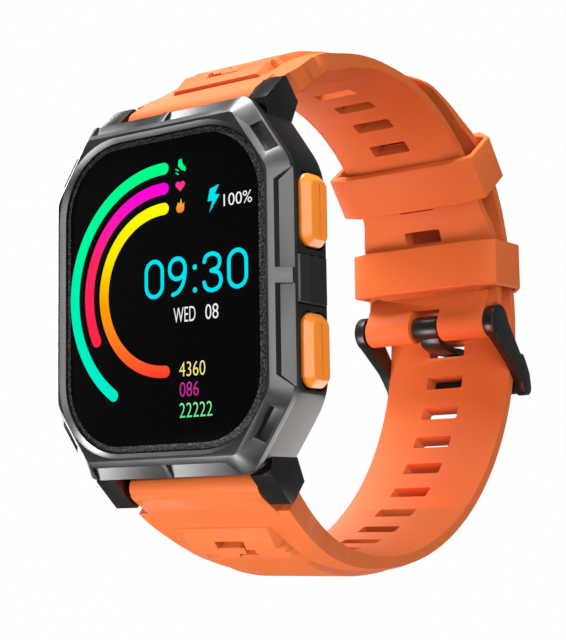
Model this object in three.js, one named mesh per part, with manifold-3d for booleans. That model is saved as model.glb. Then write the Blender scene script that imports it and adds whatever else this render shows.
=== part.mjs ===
// GPS running watch, closed on its strap.  Millimetres, +Z towards twelve o'clock, +X towards the
// button side, -Y out of the display and +Y into the wrist.  The origin is the middle of the
// sensor window, the flat that rests on the wrist.
import * as THREE from 'three';
import { mergeVertices } from 'three/addons/utils/BufferGeometryUtils.js';
import Module from 'manifold-3d';

const wasm = await Module();
wasm.setup();

// ---------- driving dimensions ----------

// fits
const seat = 0.15;             // gap between parts that are fixed to each other
const running = 0.3;           // gap beside parts that move

// case outline, seen from the front
const caseHalfWidth = 20.5;
const caseHalfHeight = 24.4;
const cornerCut = 5.5;         // how far the corner flat stands in from the square corner
const cornerSlope = 0.607;     // direction of the corner flat's normal above +X, radians
const cornerBlend = 1.7;       // how far each outline bend is rounded along its two sides

// levels along Y, front to back
const bezelFront = -12.9;
const bezelShoulder = -10.9;
const bezelBack = -9.9;
const caseBackPlane = -1.8;
const wristPlane = 0;

// bezel, glass and display
const bezelSlope = 1.9;        // how far the front edge stands in from the outline
const glassHalfWidth = 16.8;
const glassHalfHeight = 21.2;
const glassCorner = 8.3;
const glassSink = 0.65;        // front of the glass below the bezel rim
const glassThickness = 0.9;
const glassMargin = 0.6;       // bezel opening around the glass
const ledgeWidth = 1.3;
const gasketWidth = 0.8;
const gasketThickness = 0.25;
const panelThickness = 1.0;

// mid case
const caseInset = 0.25;
const wall = 2.6;
const rearBevel = 1.5;
const rearBevelInset = 1.0;
const backSeatInset = 1.8;
const backSeatDepth = 1.9;
const backPlateThickness = 1.3;
const backGasket = 0.4;
const screwFromSide = 6.4;
const screwFromEnd = 6.5;
const bossRadius = 1.9;
const screwRadius = 0.6;
const screwHeadRadius = 1.3;
const screwHeadHeight = 0.8;
const screwLength = 4.2;

// sensor window and charging contacts in the case back
const windowRadius = 9.0;
const windowFlange = 1.2;
const windowFlangeThickness = 0.6;
const contactX = 3.0;
const contactZ = -13.6;
const contactRadius = 0.9;

// lugs and spring bars
const lugGap = 0.4;            // beside the strap
const lugThickness = 3.4;
const lugPinY = -4.3;
const lugPinBeyondCase = 1.0;  // spring bar centre beyond the top or bottom edge of the case
const springBarRadius = 0.75;
const springBarReach = 1.5;    // how far each end goes into its lug
const lugKnuckle = 2.1;

// buttons
const buttonZ = 9.0;
const buttonY = -6.1;
const buttonWidth = 5.2;
const buttonLength = 9.5;
const buttonProud = 0.95;      // outer face beyond the case side
const buttonTravel = 0.45;
const buttonThickness = 1.3;
const stemRadius = 0.8;
const stemBore = 1.0;
const sealBore = 1.6;
const sealThickness = 0.7;
const sealLevel = 2.75;        // seat of the seal, in from the case side
const springBore = 2.0;
const springLevel = 1.75;      // seat of the return spring, in from the case side
const springWire = 0.26;
const springTurns = 2;
const innerBossDepth = 1.0;
const clipThickness = 0.4;
const guardHalfLength = 3.1;
const guardFront = -9.6;
const guardBack = -3.5;
const guardProud = 0.6;

// strap
const strapHalfWidth = 11.2;
const shoulderExtra = 1.8;     // wider than the strap beside the case
const buckleEndExtra = 1.1;    // wider than the strap at the buckle
const strapThickness = 2.7;
const bandStep = 0.6;          // the thinner bands along both edges of the inner face
const bandWidth = 3.7;
const blockHalfWidth = 7.4;
const blockHeight = 1.7;
const longStart = -130.6;      // both halves run about their own centre, degrees
const longEnd = 77;
const shortStart = -5.2;
const shortEnd = 143;
const longStartFromPin = new THREE.Vector2(4.78, -0.335);
const shortEndPastPin = -1.47;
const layerGap = 5.45;         // how much further out the long half's circle runs
const centreStep = new THREE.Vector2(2.8, 4.96);  // from the long half's centre to the short's
const slotWidth = 6.75;
const slotHeight = 2.2;
const longSlotPitch = 8.63;    // degrees
const longSlotFirst = -6.5;
const shortSlotPitch = 11.17;
const shortSlotFirst = 19.0;

// buckle
const bucklePinAngle = -11.5;  // about the centre of the short half, degrees
const bucklePinBeyond = 0.45;  // pin centre outside the short half's inner face
const buckleKnuckle = 2.4;
const buckleRod = 0.75;
const armThickness = 1.7;
const armRadius = 2.7;
const tongueBarrel = 1.9;
const tongueHalfWidth = 1.8;
const tongueThickness = 1.1;
const tongueSlotHalfWidth = 2.75;
const barThickness = 2.3;

// keepers
const keeperClearance = 0.4;   // beside the widest strap end
const keeperSlack = 0.58;      // over the fixed keeper's place on the long half
const freeKeeperSlack = 0.35;
const keeperWall = 1.0;
const keeperLength = 7.4;
const keeperInnerWall = 1.8;
const keeperOuterWall = 1.5;
const fixedKeeperUp = 3.8;     // middle of the fixed keeper above the short half's centre
const freeKeeperAngle = 37.2;

// inside the case
const board = { left: -15, right: 12.4, foot: 3.2, top: 15.4, cornerStep: 1.4 };
const boardThickness = 0.8;
const cell = { left: -11.6, right: 12.0, middleZ: -8.4, height: 22, depth: 3.9 };
const antenna = { left: 4.2, right: 11.6, foot: 5, top: 13, height: 1.85 };
const flexHalfWidth = 3.0;
const flexGap = 1.2;
const flexSlotFoot = 16.2;
const motor = { left: -13.6, right: -7.2, middleZ: 9.2, radius: 1.8, shaft: 0.4 };
const weight = { left: -6.8, right: -4.2 };
const speakerBox = { middleY: -6.1, middleZ: -7, width: 3.8, length: 7.4, depth: 3.0 };
const microphoneZ = 8;

// ---------- helpers ----------

const deg = THREE.MathUtils.degToRad;
const group = new THREE.Group();

// sizes that follow from the driving dimensions
const screwX = caseHalfWidth - screwFromSide;
const screwZ = caseHalfHeight - screwFromEnd;
const lugInner = strapHalfWidth + lugGap;
const lugOuter = lugInner + lugThickness;
const lugPinZ = caseHalfHeight + lugPinBeyondCase;
const shoulderHalfWidth = strapHalfWidth + shoulderExtra;
const buckleEndHalfWidth = strapHalfWidth + buckleEndExtra;
const keeperHalfWidth = buckleEndHalfWidth + keeperClearance + keeperWall;

// Each strap half starts at a fixed place beside its own spring bar, which sets both circles from
// the size of the case.
const layerStep = strapThickness + layerGap;
const shortRadius = (2 * lugPinZ + shortEndPastPin - longStartFromPin.y - centreStep.y
  + Math.sin(deg(longStart)) * layerStep) / (Math.sin(deg(shortEnd)) - Math.sin(deg(longStart)));
const longRadius = shortRadius + layerStep;
const longCentre = new THREE.Vector2(
  lugPinY + longStartFromPin.x - longRadius * Math.cos(deg(longStart)),
  -lugPinZ + longStartFromPin.y - longRadius * Math.sin(deg(longStart)));
const shortCentre = longCentre.clone().add(centreStep);

const finishes = {
  gunmetal: { color: 0x4a4b4e, roughness: 0.35, metalness: 0.85 },
  blackMetal: { color: 0x17181a, roughness: 0.35, metalness: 0.7 },
  steel: { color: 0xb9bcc0, roughness: 0.3, metalness: 1.0 },
  gold: { color: 0xd2a850, roughness: 0.3, metalness: 1.0 },
  strapOrange: { color: 0xf0662c, roughness: 0.6, metalness: 0 },
  buttonOrange: { color: 0xf98322, roughness: 0.3, metalness: 0 },
  blackPlastic: { color: 0x1b1c1e, roughness: 0.5, metalness: 0 },
  glass: { color: 0x0a0b0d, roughness: 0.05, metalness: 0 },
  screen: { color: 0x050505, roughness: 0.2, metalness: 0 },
  board: { color: 0x1d5a38, roughness: 0.5, metalness: 0 },
  cell: { color: 0x9aa0a8, roughness: 0.4, metalness: 0.3 },
  flex: { color: 0xb5762a, roughness: 0.5, metalness: 0 },
  seal: { color: 0x262626, roughness: 0.8, metalness: 0 },
  ceramic: { color: 0xcfc4a6, roughness: 0.6, metalness: 0 },
};

function addPart(name, shape, finish) {
  const geometry = shape.isBufferGeometry ? shape : fromManifold(shape);
  const mesh = new THREE.Mesh(geometry, new THREE.MeshStandardMaterial(finishes[finish]));
  mesh.name = name;
  group.add(mesh);
}

function toManifold(geometry) {
  const bare = geometry.clone();
  bare.deleteAttribute('normal');
  bare.deleteAttribute('uv');
  const merged = mergeVertices(bare, 1e-4);
  return new wasm.Manifold(new wasm.Mesh({
    numProp: 3,
    vertProperties: new Float32Array(merged.attributes.position.array),
    triVerts: new Uint32Array(merged.index.array),
  }));
}

function fromManifold(solid) {
  const mesh = solid.getMesh();
  const geometry = new THREE.BufferGeometry();
  geometry.setAttribute('position', new THREE.BufferAttribute(mesh.vertProperties, 3));
  geometry.setIndex(new THREE.BufferAttribute(mesh.triVerts, 1));
  geometry.computeVertexNormals();
  return geometry;
}

function join(...geometries) {
  return geometries.map((g) => (g.isBufferGeometry ? toManifold(g) : g)).reduce((a, b) => a.add(b));
}

function cut(body, ...tools) {
  const start = body.isBufferGeometry ? toManifold(body) : body;
  return tools
    .map((g) => (g.isBufferGeometry ? toManifold(g) : g))
    .reduce((a, b) => a.subtract(b), start);
}

// An outline in X and Z, extruded from one Y level to another.
function plateY(outline, yFrom, yTo, curveSegments = 3) {
  const geometry = new THREE.ExtrudeGeometry(outline, {
    depth: yTo - yFrom, bevelEnabled: false, curveSegments,
  });
  geometry.rotateX(Math.PI / 2);
  geometry.translate(0, yTo, 0);
  return geometry;
}

// An outline in Y and Z, extruded from one X position to another.
function barX(outline, xFrom, xTo, curveSegments = 3) {
  const geometry = new THREE.ExtrudeGeometry(outline, {
    depth: xTo - xFrom, bevelEnabled: false, curveSegments,
  });
  const turn = new THREE.Matrix4().makeBasis(
    new THREE.Vector3(0, 1, 0), new THREE.Vector3(0, 0, 1), new THREE.Vector3(1, 0, 0));
  geometry.applyMatrix4(turn);
  geometry.translate(xFrom, 0, 0);
  return geometry;
}

function polygon(points) {
  return new THREE.Shape(points.map(([a, b]) => new THREE.Vector2(a, b)));
}

function disc(a, b, radius) {
  return new THREE.Shape().absarc(a, b, radius, 0, Math.PI * 2, false);
}

function rodX(y, z, radius, xFrom, xTo, sides = 14) {
  return barX(disc(y, z, radius), xFrom, xTo, sides / 2);
}

function discY(x, z, radius, yFrom, yTo, sides = 14) {
  return plateY(disc(x, z, radius), yFrom, yTo, sides / 2);
}

function box(xFrom, xTo, yFrom, yTo, zFrom, zTo) {
  const geometry = new THREE.BoxGeometry(xTo - xFrom, yTo - yFrom, zTo - zFrom);
  geometry.translate((xFrom + xTo) / 2, (yFrom + yTo) / 2, (zFrom + zTo) / 2);
  return geometry;
}

function ringX(y, z, inner, outer, xFrom, xTo) {
  const outline = disc(y, z, outer);
  outline.holes.push(disc(y, z, inner));
  return barX(outline, xFrom, xTo, 7);
}

// A closed outline whose corners are rounded by a quadratic blend of the given reach.
function blended(corners, reach) {
  const outline = new THREE.Shape();
  corners.forEach((corner, i) => {
    const before = corners[(i + corners.length - 1) % corners.length];
    const after = corners[(i + 1) % corners.length];
    const into = before.clone().sub(corner).setLength(reach).add(corner);
    const out = after.clone().sub(corner).setLength(reach).add(corner);
    if (i === 0) outline.moveTo(into.x, into.y);
    else outline.lineTo(into.x, into.y);
    outline.quadraticCurveTo(corner.x, corner.y, out.x, out.y);
  });
  outline.closePath();
  return outline;
}

// The eight-sided case outline, moved in on every side.
function caseOutline(inset) {
  const halfWidth = caseHalfWidth - inset;
  const halfHeight = caseHalfHeight - inset;
  const nx = Math.cos(cornerSlope);
  const nz = Math.sin(cornerSlope);
  const reach = nx * caseHalfWidth + nz * caseHalfHeight - cornerCut - inset;
  const sideZ = (reach - nx * halfWidth) / nz;
  const topX = (reach - nz * halfHeight) / nx;
  const quarter = [[halfWidth, sideZ], [topX, halfHeight]];
  const corners = [
    ...quarter,
    ...quarter.map(([x, z]) => [-x, z]).reverse(),
    ...quarter.map(([x, z]) => [-x, -z]),
    ...quarter.map(([x, z]) => [x, -z]).reverse(),
  ];
  return blended(corners.map(([x, z]) => new THREE.Vector2(x, z)), cornerBlend);
}

function roundedOutline(halfWidth, halfHeight, radius) {
  const outline = new THREE.Shape();
  outline.absarc(halfWidth - radius, halfHeight - radius, radius, 0, Math.PI / 2, false);
  outline.absarc(-halfWidth + radius, halfHeight - radius, radius, Math.PI / 2, Math.PI, false);
  outline.absarc(-halfWidth + radius, -halfHeight + radius, radius, Math.PI, Math.PI * 1.5, false);
  outline.absarc(halfWidth - radius, -halfHeight + radius, radius, Math.PI * 1.5, Math.PI * 2, false);
  outline.closePath();
  return outline;
}

// A closed skin through rings of equal point counts.  The flat outline of one ring is given for
// its two end caps.
function loft(rings, capOutline) {
  const count = rings[0].length;
  const index = [];
  for (let r = 0; r < rings.length - 1; r += 1) {
    for (let i = 0; i < count; i += 1) {
      const a = r * count + i;
      const b = r * count + ((i + 1) % count);
      index.push(a, b, b + count, a, b + count, a + count);
    }
  }
  const last = (rings.length - 1) * count;
  for (const [a, b, c] of THREE.ShapeUtils.triangulateShape(capOutline, [])) {
    index.push(a, c, b, last + a, last + b, last + c);
  }
  const geometry = new THREE.BufferGeometry();
  geometry.setAttribute('position', new THREE.Float32BufferAttribute(rings.flat(2), 3));
  geometry.setIndex(index);
  return geometry;
}

// Case outlines at several Y levels, as [y, inset] from back to front.
function caseLoft(levels) {
  const rings = levels.map(([y, inset]) => caseOutline(inset).getPoints(3).slice(0, -1)
    .map((p) => [p.x, y, p.y]));
  return loft(rings, rings[0].map(([x, , z]) => new THREE.Vector2(x, z)));
}

// ---------- bezel, glass and display ----------

const glassFront = bezelFront + glassSink;
const glassBack = glassFront + glassThickness;
const ledgeFront = glassBack + gasketThickness + 2 * seat;
const openingHalfWidth = glassHalfWidth + glassMargin;
const openingHalfHeight = glassHalfHeight + glassMargin;
const innerHalfWidth = openingHalfWidth - ledgeWidth;
const innerHalfHeight = openingHalfHeight - ledgeWidth;
const innerCorner = glassCorner + glassMargin - ledgeWidth;

addPart('front_bezel', cut(
  caseLoft([[bezelBack, 0], [bezelShoulder, 0], [bezelFront, bezelSlope]]),
  plateY(roundedOutline(openingHalfWidth, openingHalfHeight, glassCorner + glassMargin),
    bezelFront - 1, ledgeFront),
  plateY(roundedOutline(innerHalfWidth, innerHalfHeight, innerCorner), bezelFront, bezelBack + 1),
), 'gunmetal');

addPart('cover_glass',
  plateY(roundedOutline(glassHalfWidth, glassHalfHeight, glassCorner), glassFront, glassBack, 5),
  'glass');

function gasketRing(halfWidth, halfHeight, corner, width, yFrom, yTo) {
  const outline = roundedOutline(halfWidth, halfHeight, corner);
  outline.holes.push(roundedOutline(halfWidth - width, halfHeight - width, corner - width));
  return plateY(outline, yFrom, yTo);
}

addPart('glass_gasket',
  gasketRing(glassHalfWidth, glassHalfHeight, glassCorner, gasketWidth,
    glassBack + seat, ledgeFront - seat),
  'seal');

const panelFront = glassBack + seat;
const panelHalfWidth = innerHalfWidth - seat;
const panelHalfHeight = innerHalfHeight - seat;
addPart('display_panel',
  plateY(roundedOutline(panelHalfWidth - gasketWidth / 2, panelHalfHeight - gasketWidth / 2,
    innerCorner), panelFront, panelFront + panelThickness),
  'screen');

// ---------- mid case with its lugs ----------

const caseFrontPlane = bezelBack + seat;
const caseSide = caseHalfWidth - caseInset;
const cavitySide = caseHalfWidth - wall;
const pocketFloor = caseSide - buttonThickness - buttonTravel + buttonProud - running;
const guardFloor = caseSide - buttonThickness;
const sealSeat = caseSide - sealLevel;
const springSeat = caseSide - springLevel;

// One lug's side outline, for the upper (+1) or lower (-1) end.
function lugOutline(end) {
  const z = (beyond) => end * (caseHalfHeight + beyond);
  const points = [
    [-8.3, z(-2.3)], [-3.0, z(-2.3)], [-1.5, z(0.8)], [-4.0, z(3.7)], [-4.6, z(3.7)],
    [-8.6, z(0.1)],
  ];
  return polygon(end > 0 ? points : points.reverse());
}

function capsule(y, z, width, length) {
  const radius = width / 2 - 0.4;
  const outline = roundedOutline(width / 2, length / 2, radius);
  return polygon(outline.getPoints(2).slice(0, -1).map((p) => [p.x + y, p.y + z]));
}

function buttonBores(z) {
  return [
    barX(capsule(buttonY, z, buttonWidth + 2 * running, buttonLength + 2 * running),
      pocketFloor, caseSide + 2),
    rodX(buttonY, z, springBore, springSeat, pocketFloor + 0.1),
    rodX(buttonY, z, sealBore, sealSeat, springSeat + 0.1),
    rodX(buttonY, z, stemBore, cavitySide - innerBossDepth - 1, sealSeat + 0.1),
  ];
}

const cavityFloor = caseBackPlane - backSeatDepth;
const corners = [[1, 1], [-1, 1], [-1, -1], [1, -1]];
const ends = [['upper', 1], ['lower', -1]];
const shell = cut(
  caseLoft([[caseBackPlane, caseInset + rearBevelInset], [caseBackPlane - rearBevel, caseInset],
    [caseFrontPlane, caseInset]]),
  plateY(caseOutline(wall), caseFrontPlane - 1, caseBackPlane + 1),
);
const caseAdditions = [
  ...corners.map(([sx, sz]) => discY(sx * screwX, sz * screwZ, bossRadius, cavityFloor - 3.4,
    cavityFloor - 0.01)),
  ...ends.map(([, sz]) => rodX(buttonY, sz * buttonZ, springBore + 0.8,
    cavitySide - innerBossDepth, cavitySide + 0.5)),
  ...ends.flatMap(([, end]) => [
    barX(lugOutline(end), lugInner, lugOuter),
    barX(lugOutline(end), -lugOuter, -lugInner),
  ]),
];
const speakerSlotZ = [-2, 0, 2].map((step) => speakerBox.middleZ + step);
const caseCuts = [
  plateY(caseOutline(backSeatInset), cavityFloor, caseBackPlane + 1),
  ...ends.flatMap(([, sz]) => buttonBores(sz * buttonZ)),
  box(guardFloor, caseSide + 2, guardFront - seat, guardBack + seat,
    -guardHalfLength - seat, guardHalfLength + seat),
  ...ends.map(([, end]) => rodX(lugPinY, end * lugPinZ, lugKnuckle + running,
    -lugInner, lugInner, 24)),
  ...ends.map(([, end]) => rodX(lugPinY, end * lugPinZ, springBarRadius + seat,
    -lugInner - springBarReach - seat, lugInner + springBarReach + seat)),
  ...corners.map(([sx, sz]) => discY(sx * screwX, sz * screwZ, screwRadius + seat,
    caseBackPlane - screwLength - 0.6, caseBackPlane, 12)),
  ...speakerSlotZ.map((z) => box(-caseSide - 1, -cavitySide + 0.5, speakerBox.middleY - 1.3,
    speakerBox.middleY + 1.3, z - 0.5, z + 0.5)),
  rodX(speakerBox.middleY, microphoneZ, 0.5, -caseSide - 1, -cavitySide + 0.5, 10),
];
addPart('mid_case', cut(join(shell, ...caseAdditions), ...caseCuts), 'gunmetal');

// ---------- case back, window, contacts, screws ----------

const backPlateFront = caseBackPlane - backPlateThickness;
const windowBore = windowRadius + seat;
addPart('case_back', cut(
  plateY(caseOutline(backSeatInset + seat), backPlateFront, caseBackPlane),
  discY(0, 0, windowBore, backPlateFront - 1, caseBackPlane + 1, 32),
  ...corners.flatMap(([sx, sz]) => [
    discY(sx * screwX, sz * screwZ, screwRadius + seat, backPlateFront - 1, caseBackPlane + 1, 12),
    discY(sx * screwX, sz * screwZ, screwHeadRadius + seat,
      caseBackPlane - screwHeadHeight - seat, caseBackPlane + 1),
  ]),
  ...[-1, 1].map((sx) => discY(sx * contactX, contactZ, contactRadius + seat,
    backPlateFront - 1, caseBackPlane + 1, 14)),
), 'blackPlastic');

const gasketOutline = caseOutline(backSeatInset + seat);
gasketOutline.holes.push(caseOutline(wall - 0.1));
addPart('back_gasket',
  plateY(gasketOutline, backPlateFront - backGasket - seat / 2, backPlateFront - seat / 2),
  'seal');

corners.forEach(([sx, sz], i) => {
  const headBack = caseBackPlane - 0.05;
  const drive = box(sx * screwX - 0.15, sx * screwX + 0.15, headBack - 0.35, headBack + 1,
    sz * screwZ - 0.9, sz * screwZ + 0.9);
  addPart(`back_screw_${i + 1}`, cut(join(
    discY(sx * screwX, sz * screwZ, screwHeadRadius, headBack - screwHeadHeight, headBack, 18),
    discY(sx * screwX, sz * screwZ, screwRadius, headBack - screwLength,
      headBack - screwHeadHeight + 0.1, 12),
  ), drive), 'steel');
});

const flangeBack = backPlateFront - seat;
addPart('sensor_window', join(
  discY(0, 0, windowRadius, flangeBack - windowFlangeThickness, wristPlane - 0.7, 32),
  discY(0, 0, windowRadius - 0.8, wristPlane - 0.8, wristPlane, 32),
  discY(0, 0, windowRadius + windowFlange, flangeBack - windowFlangeThickness, flangeBack, 32),
), 'glass');

const sensorBoardBack = flangeBack - windowFlangeThickness - 0.5;
addPart('sensor_board', discY(0, 0, windowRadius - 0.6, sensorBoardBack - 0.5, sensorBoardBack, 24),
  'board');

[-1, 1].forEach((sx, i) => addPart(`charging_contact_${i + 1}`, join(
  discY(sx * contactX, contactZ, contactRadius, backPlateFront - 1.2, caseBackPlane + 0.1, 14),
  discY(sx * contactX, contactZ, contactRadius + 0.5, backPlateFront - 1.2, flangeBack - 0.1, 14),
), 'gold'));

// ---------- inside: chassis, electronics, battery, motor ----------

const panelBack = panelFront + panelThickness;
const chassisFront = panelBack + 0.45;
const chassisBack = chassisFront + 0.6;
addPart('inner_chassis', cut(
  plateY(caseOutline(wall + seat + 0.2), chassisFront, chassisBack),
  box(-flexHalfWidth - 0.4, flexHalfWidth + 0.4, chassisFront - 1, chassisBack + 1,
    flexSlotFoot, flexSlotFoot + 2 * flexGap),
), 'blackPlastic');

const boardFront = chassisBack + 0.3;
const boardBack = boardFront + boardThickness;
addPart('main_board', plateY(polygon([[board.left, board.foot], [board.right, board.foot],
  [board.right, board.top], [board.left + board.cornerStep, board.top]]),
boardFront, boardBack), 'board');

const flexWall = 0.15;
const flexZ = flexSlotFoot + flexGap;
addPart('display_flex', barX(polygon([
  [panelBack + 0.15, flexZ - 6], [panelBack + 0.15 + flexWall, flexZ - 6],
  [panelBack + 0.15 + flexWall, flexZ - flexWall / 2], [boardBack + 0.3, flexZ - flexWall / 2],
  [boardBack + 0.3, flexZ - 6], [boardBack + 0.3 + flexWall, flexZ - 6],
  [boardBack + 0.3 + flexWall, flexZ + flexWall / 2], [panelBack + 0.15, flexZ + flexWall / 2],
]), -flexHalfWidth, flexHalfWidth), 'flex');

addPart('battery', barX(
  capsule(boardFront + cell.depth / 2, cell.middleZ, cell.depth, cell.height),
  cell.left, cell.right), 'cell');

addPart('gps_antenna', box(antenna.left, antenna.right, boardBack + seat,
  boardBack + seat + antenna.height, antenna.foot, antenna.top), 'ceramic');

const motorY = boardBack + motor.radius + 0.4;
addPart('vibration_motor', cut(
  rodX(motorY, motor.middleZ, motor.radius, motor.left, motor.right, 16),
  rodX(motorY, motor.middleZ, motor.shaft + seat, motor.right - 1.4, motor.right + 1, 10),
), 'steel');

function halfDisc(y, z, radius) {
  const outline = new THREE.Shape();
  outline.absarc(y, z, radius, Math.PI, Math.PI * 2, false);
  outline.closePath();
  return outline;
}
addPart('motor_weight', join(
  barX(halfDisc(motorY, motor.middleZ, motor.radius), weight.left, weight.right, 8),
  rodX(motorY, motor.middleZ, motor.shaft, motor.right - 1.2, weight.right, 10),
  rodX(motorY, motor.middleZ, motor.shaft * 2, weight.left, weight.right, 10),
), 'steel');

addPart('speaker', barX(
  capsule(speakerBox.middleY, speakerBox.middleZ, speakerBox.width, speakerBox.length),
  -cavitySide + 0.4, -cavitySide + 0.4 + speakerBox.depth), 'blackPlastic');
addPart('microphone', box(-cavitySide + 0.4, -cavitySide + 1.8, speakerBox.middleY - 1.3,
  speakerBox.middleY + 1.3, microphoneZ - 1.6, microphoneZ + 1.6), 'steel');

// ---------- buttons ----------

const capInner = caseSide + buttonProud - buttonThickness;
const sideBoardX = cavitySide - innerBossDepth - clipThickness - seat - buttonTravel - 2.6;
const stemEnd = sideBoardX + 1.5 + running + buttonTravel;

function helixX(y, z, radius, xFrom, xTo, turns, wire) {
  const steps = 12 * turns;
  const points = [];
  for (let i = 0; i <= steps; i += 1) {
    const turn = (i / steps) * turns * Math.PI * 2;
    points.push(new THREE.Vector3(
      THREE.MathUtils.lerp(xFrom, xTo, i / steps),
      y + radius * Math.cos(turn),
      z + radius * Math.sin(turn)));
  }
  return new THREE.ExtrudeGeometry(disc(0, 0, wire / 2), {
    extrudePath: new THREE.CatmullRomCurve3(points), steps, curveSegments: 3, bevelEnabled: false,
  });
}

for (const [which, end] of ends) {
  const z = end * buttonZ;
  addPart(`button_${which}`, join(
    barX(capsule(buttonY, z, buttonWidth, buttonLength), capInner, caseSide + buttonProud - 0.5),
    barX(capsule(buttonY, z, buttonWidth - 0.9, buttonLength - 0.9), caseSide + buttonProud - 0.6,
      caseSide + buttonProud),
  ), 'buttonOrange');
  addPart(`button_stem_${which}`, rodX(buttonY, z, stemRadius, stemEnd, capInner - 0.05), 'steel');
  addPart(`button_clip_${which}`,
    ringX(buttonY, z, stemRadius + 0.05, sealBore, cavitySide - innerBossDepth - clipThickness - seat,
      cavitySide - innerBossDepth - seat), 'steel');
  addPart(`button_seal_${which}`,
    ringX(buttonY, z, stemRadius + 0.1, sealBore - 0.1, sealSeat + 0.1, sealSeat + sealThickness),
    'seal');
  addPart(`button_spring_${which}`,
    helixX(buttonY, z, (springBore + stemRadius) / 2, springSeat + springWire,
      capInner - springWire * 0.6, springTurns, springWire), 'steel');
  addPart(`button_switch_${which}`, join(
    box(sideBoardX + 0.05, sideBoardX + 1.1, buttonY - 1.5, buttonY + 1.5, z - 1.5, z + 1.5),
    rodX(buttonY, z, 0.7, sideBoardX + 1, sideBoardX + 1.5, 12),
  ), 'blackPlastic');
}

addPart('button_board', box(sideBoardX - 0.6, sideBoardX, buttonY - 2.2, buttonY + 2.2,
  -buttonZ - 3, buttonZ + 3), 'board');

addPart('button_guard', join(
  box(guardFloor + seat, caseSide, guardFront, guardBack, -guardHalfLength, guardHalfLength),
  box(caseSide - 0.1, caseSide + guardProud, guardFront + 1.9, guardBack - 0.4,
    -guardHalfLength, guardHalfLength),
), 'blackPlastic');

// ---------- strap ----------

for (const [which, end] of ends) {
  addPart(`spring_bar_${which}`, rodX(lugPinY, end * lugPinZ, springBarRadius,
    -lugInner - springBarReach, lugInner + springBarReach, 12), 'steel');
}

function polar(centre, angle, radius) {
  return [centre.x + radius * Math.cos(deg(angle)), centre.y + radius * Math.sin(deg(angle))];
}

// A smooth run of values through [angle, value] pairs.
function run(pairs) {
  return (angle) => {
    const at = pairs.findIndex(([a]) => a >= angle);
    if (at === 0) return pairs[0][1];
    if (at < 0) return pairs[pairs.length - 1][1];
    const [a0, v0] = pairs[at - 1];
    const [a1, v1] = pairs[at];
    return THREE.MathUtils.lerp(v0, v1, THREE.MathUtils.smoothstep(angle, a0, a1));
  };
}

// One cross section of a strap half, in X and distance from the strap's centre.
function strapSection(inner, thickness, halfWidth, raised) {
  const edge = inner + bandStep;
  const face = inner + thickness;
  const block = Math.min(blockHalfWidth, halfWidth - 1.5);
  return [
    [-halfWidth, edge], [-halfWidth + bandWidth, inner], [halfWidth - bandWidth, inner],
    [halfWidth, edge], [halfWidth, face], [block + 0.5, face], [block, face + raised],
    [-block, face + raised], [-block - 0.5, face], [-halfWidth, face],
  ];
}

function strapBody(centre, angles, inner, thickness, halfWidth, raised) {
  const sections = angles.map((a) => strapSection(inner(a), thickness(a), halfWidth(a), raised(a)));
  const rings = sections.map((section, i) => section.map(([x, radius]) => {
    const [y, z] = polar(centre, angles[i], radius);
    return [x, y, z];
  }));
  return loft(rings, sections[0].map(([x, radius]) => new THREE.Vector2(x, radius)));
}

function strapSlot(centre, angle, radius) {
  const geometry = new THREE.BoxGeometry(slotWidth, 12, slotHeight);
  geometry.rotateX(deg(angle));
  const [y, z] = polar(centre, angle, radius);
  geometry.translate(0, y, z);
  return geometry;
}

function steps(from, to, count) {
  return Array.from({ length: count + 1 }, (_, i) => THREE.MathUtils.lerp(from, to, i / count));
}

const longInner = run([[0, 0], [10, 0.1], [20, 0.6], [29, 1.4], [38, 1.9], [45, 1.75], [52, 0.7],
  [58, 0.5], [66, 0.35], [longEnd, 0.1]]);
const longThickness = run([[longStart, 1.5], [-122, 0.5], [-105, 0.2], [-90, 0.1], [46, -0.1],
  [66, -1.0], [longEnd, -1.3]]);
const longHalfWidth = run([[longStart, shoulderHalfWidth], [-105, strapHalfWidth],
  [66, strapHalfWidth], [longEnd, strapHalfWidth * 0.62]]);
const longRaised = run([[-128.5, 0.02], [-126, blockHeight], [-108, blockHeight], [-90, 0.6 * blockHeight],
  [-66, 0.02]]);

// The strap's own eye around a spring bar, and the web that joins it to the strap body.
function knuckleWeb(pin, radius, centre, angle, inner, outer) {
  const [iy, iz] = polar(centre, angle, inner);
  const [oy, oz] = polar(centre, angle, outer);
  const along = new THREE.Vector2((iy + oy) / 2 - pin[0], (iz + oz) / 2 - pin[1]).normalize();
  const side = new THREE.Vector2(-along.y, along.x).multiplyScalar(radius);
  const towardsOuter = side.dot(new THREE.Vector2(oy - iy, oz - iz)) > 0 ? 1 : -1;
  const points = [
    [pin[0] + towardsOuter * side.x, pin[1] + towardsOuter * side.y], [oy, oz],
    [iy, iz], [pin[0] - towardsOuter * side.x, pin[1] - towardsOuter * side.y],
  ];
  return polygon(THREE.ShapeUtils.isClockWise(points.map(([a, b]) => new THREE.Vector2(a, b)))
    ? points.reverse() : points);
}

const eyeHalfWidth = lugInner - 2 * running;
const lowerPin = [lugPinY, -lugPinZ];
const upperPin = [lugPinY, lugPinZ];
const eyeBore = springBarRadius + seat;

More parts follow.
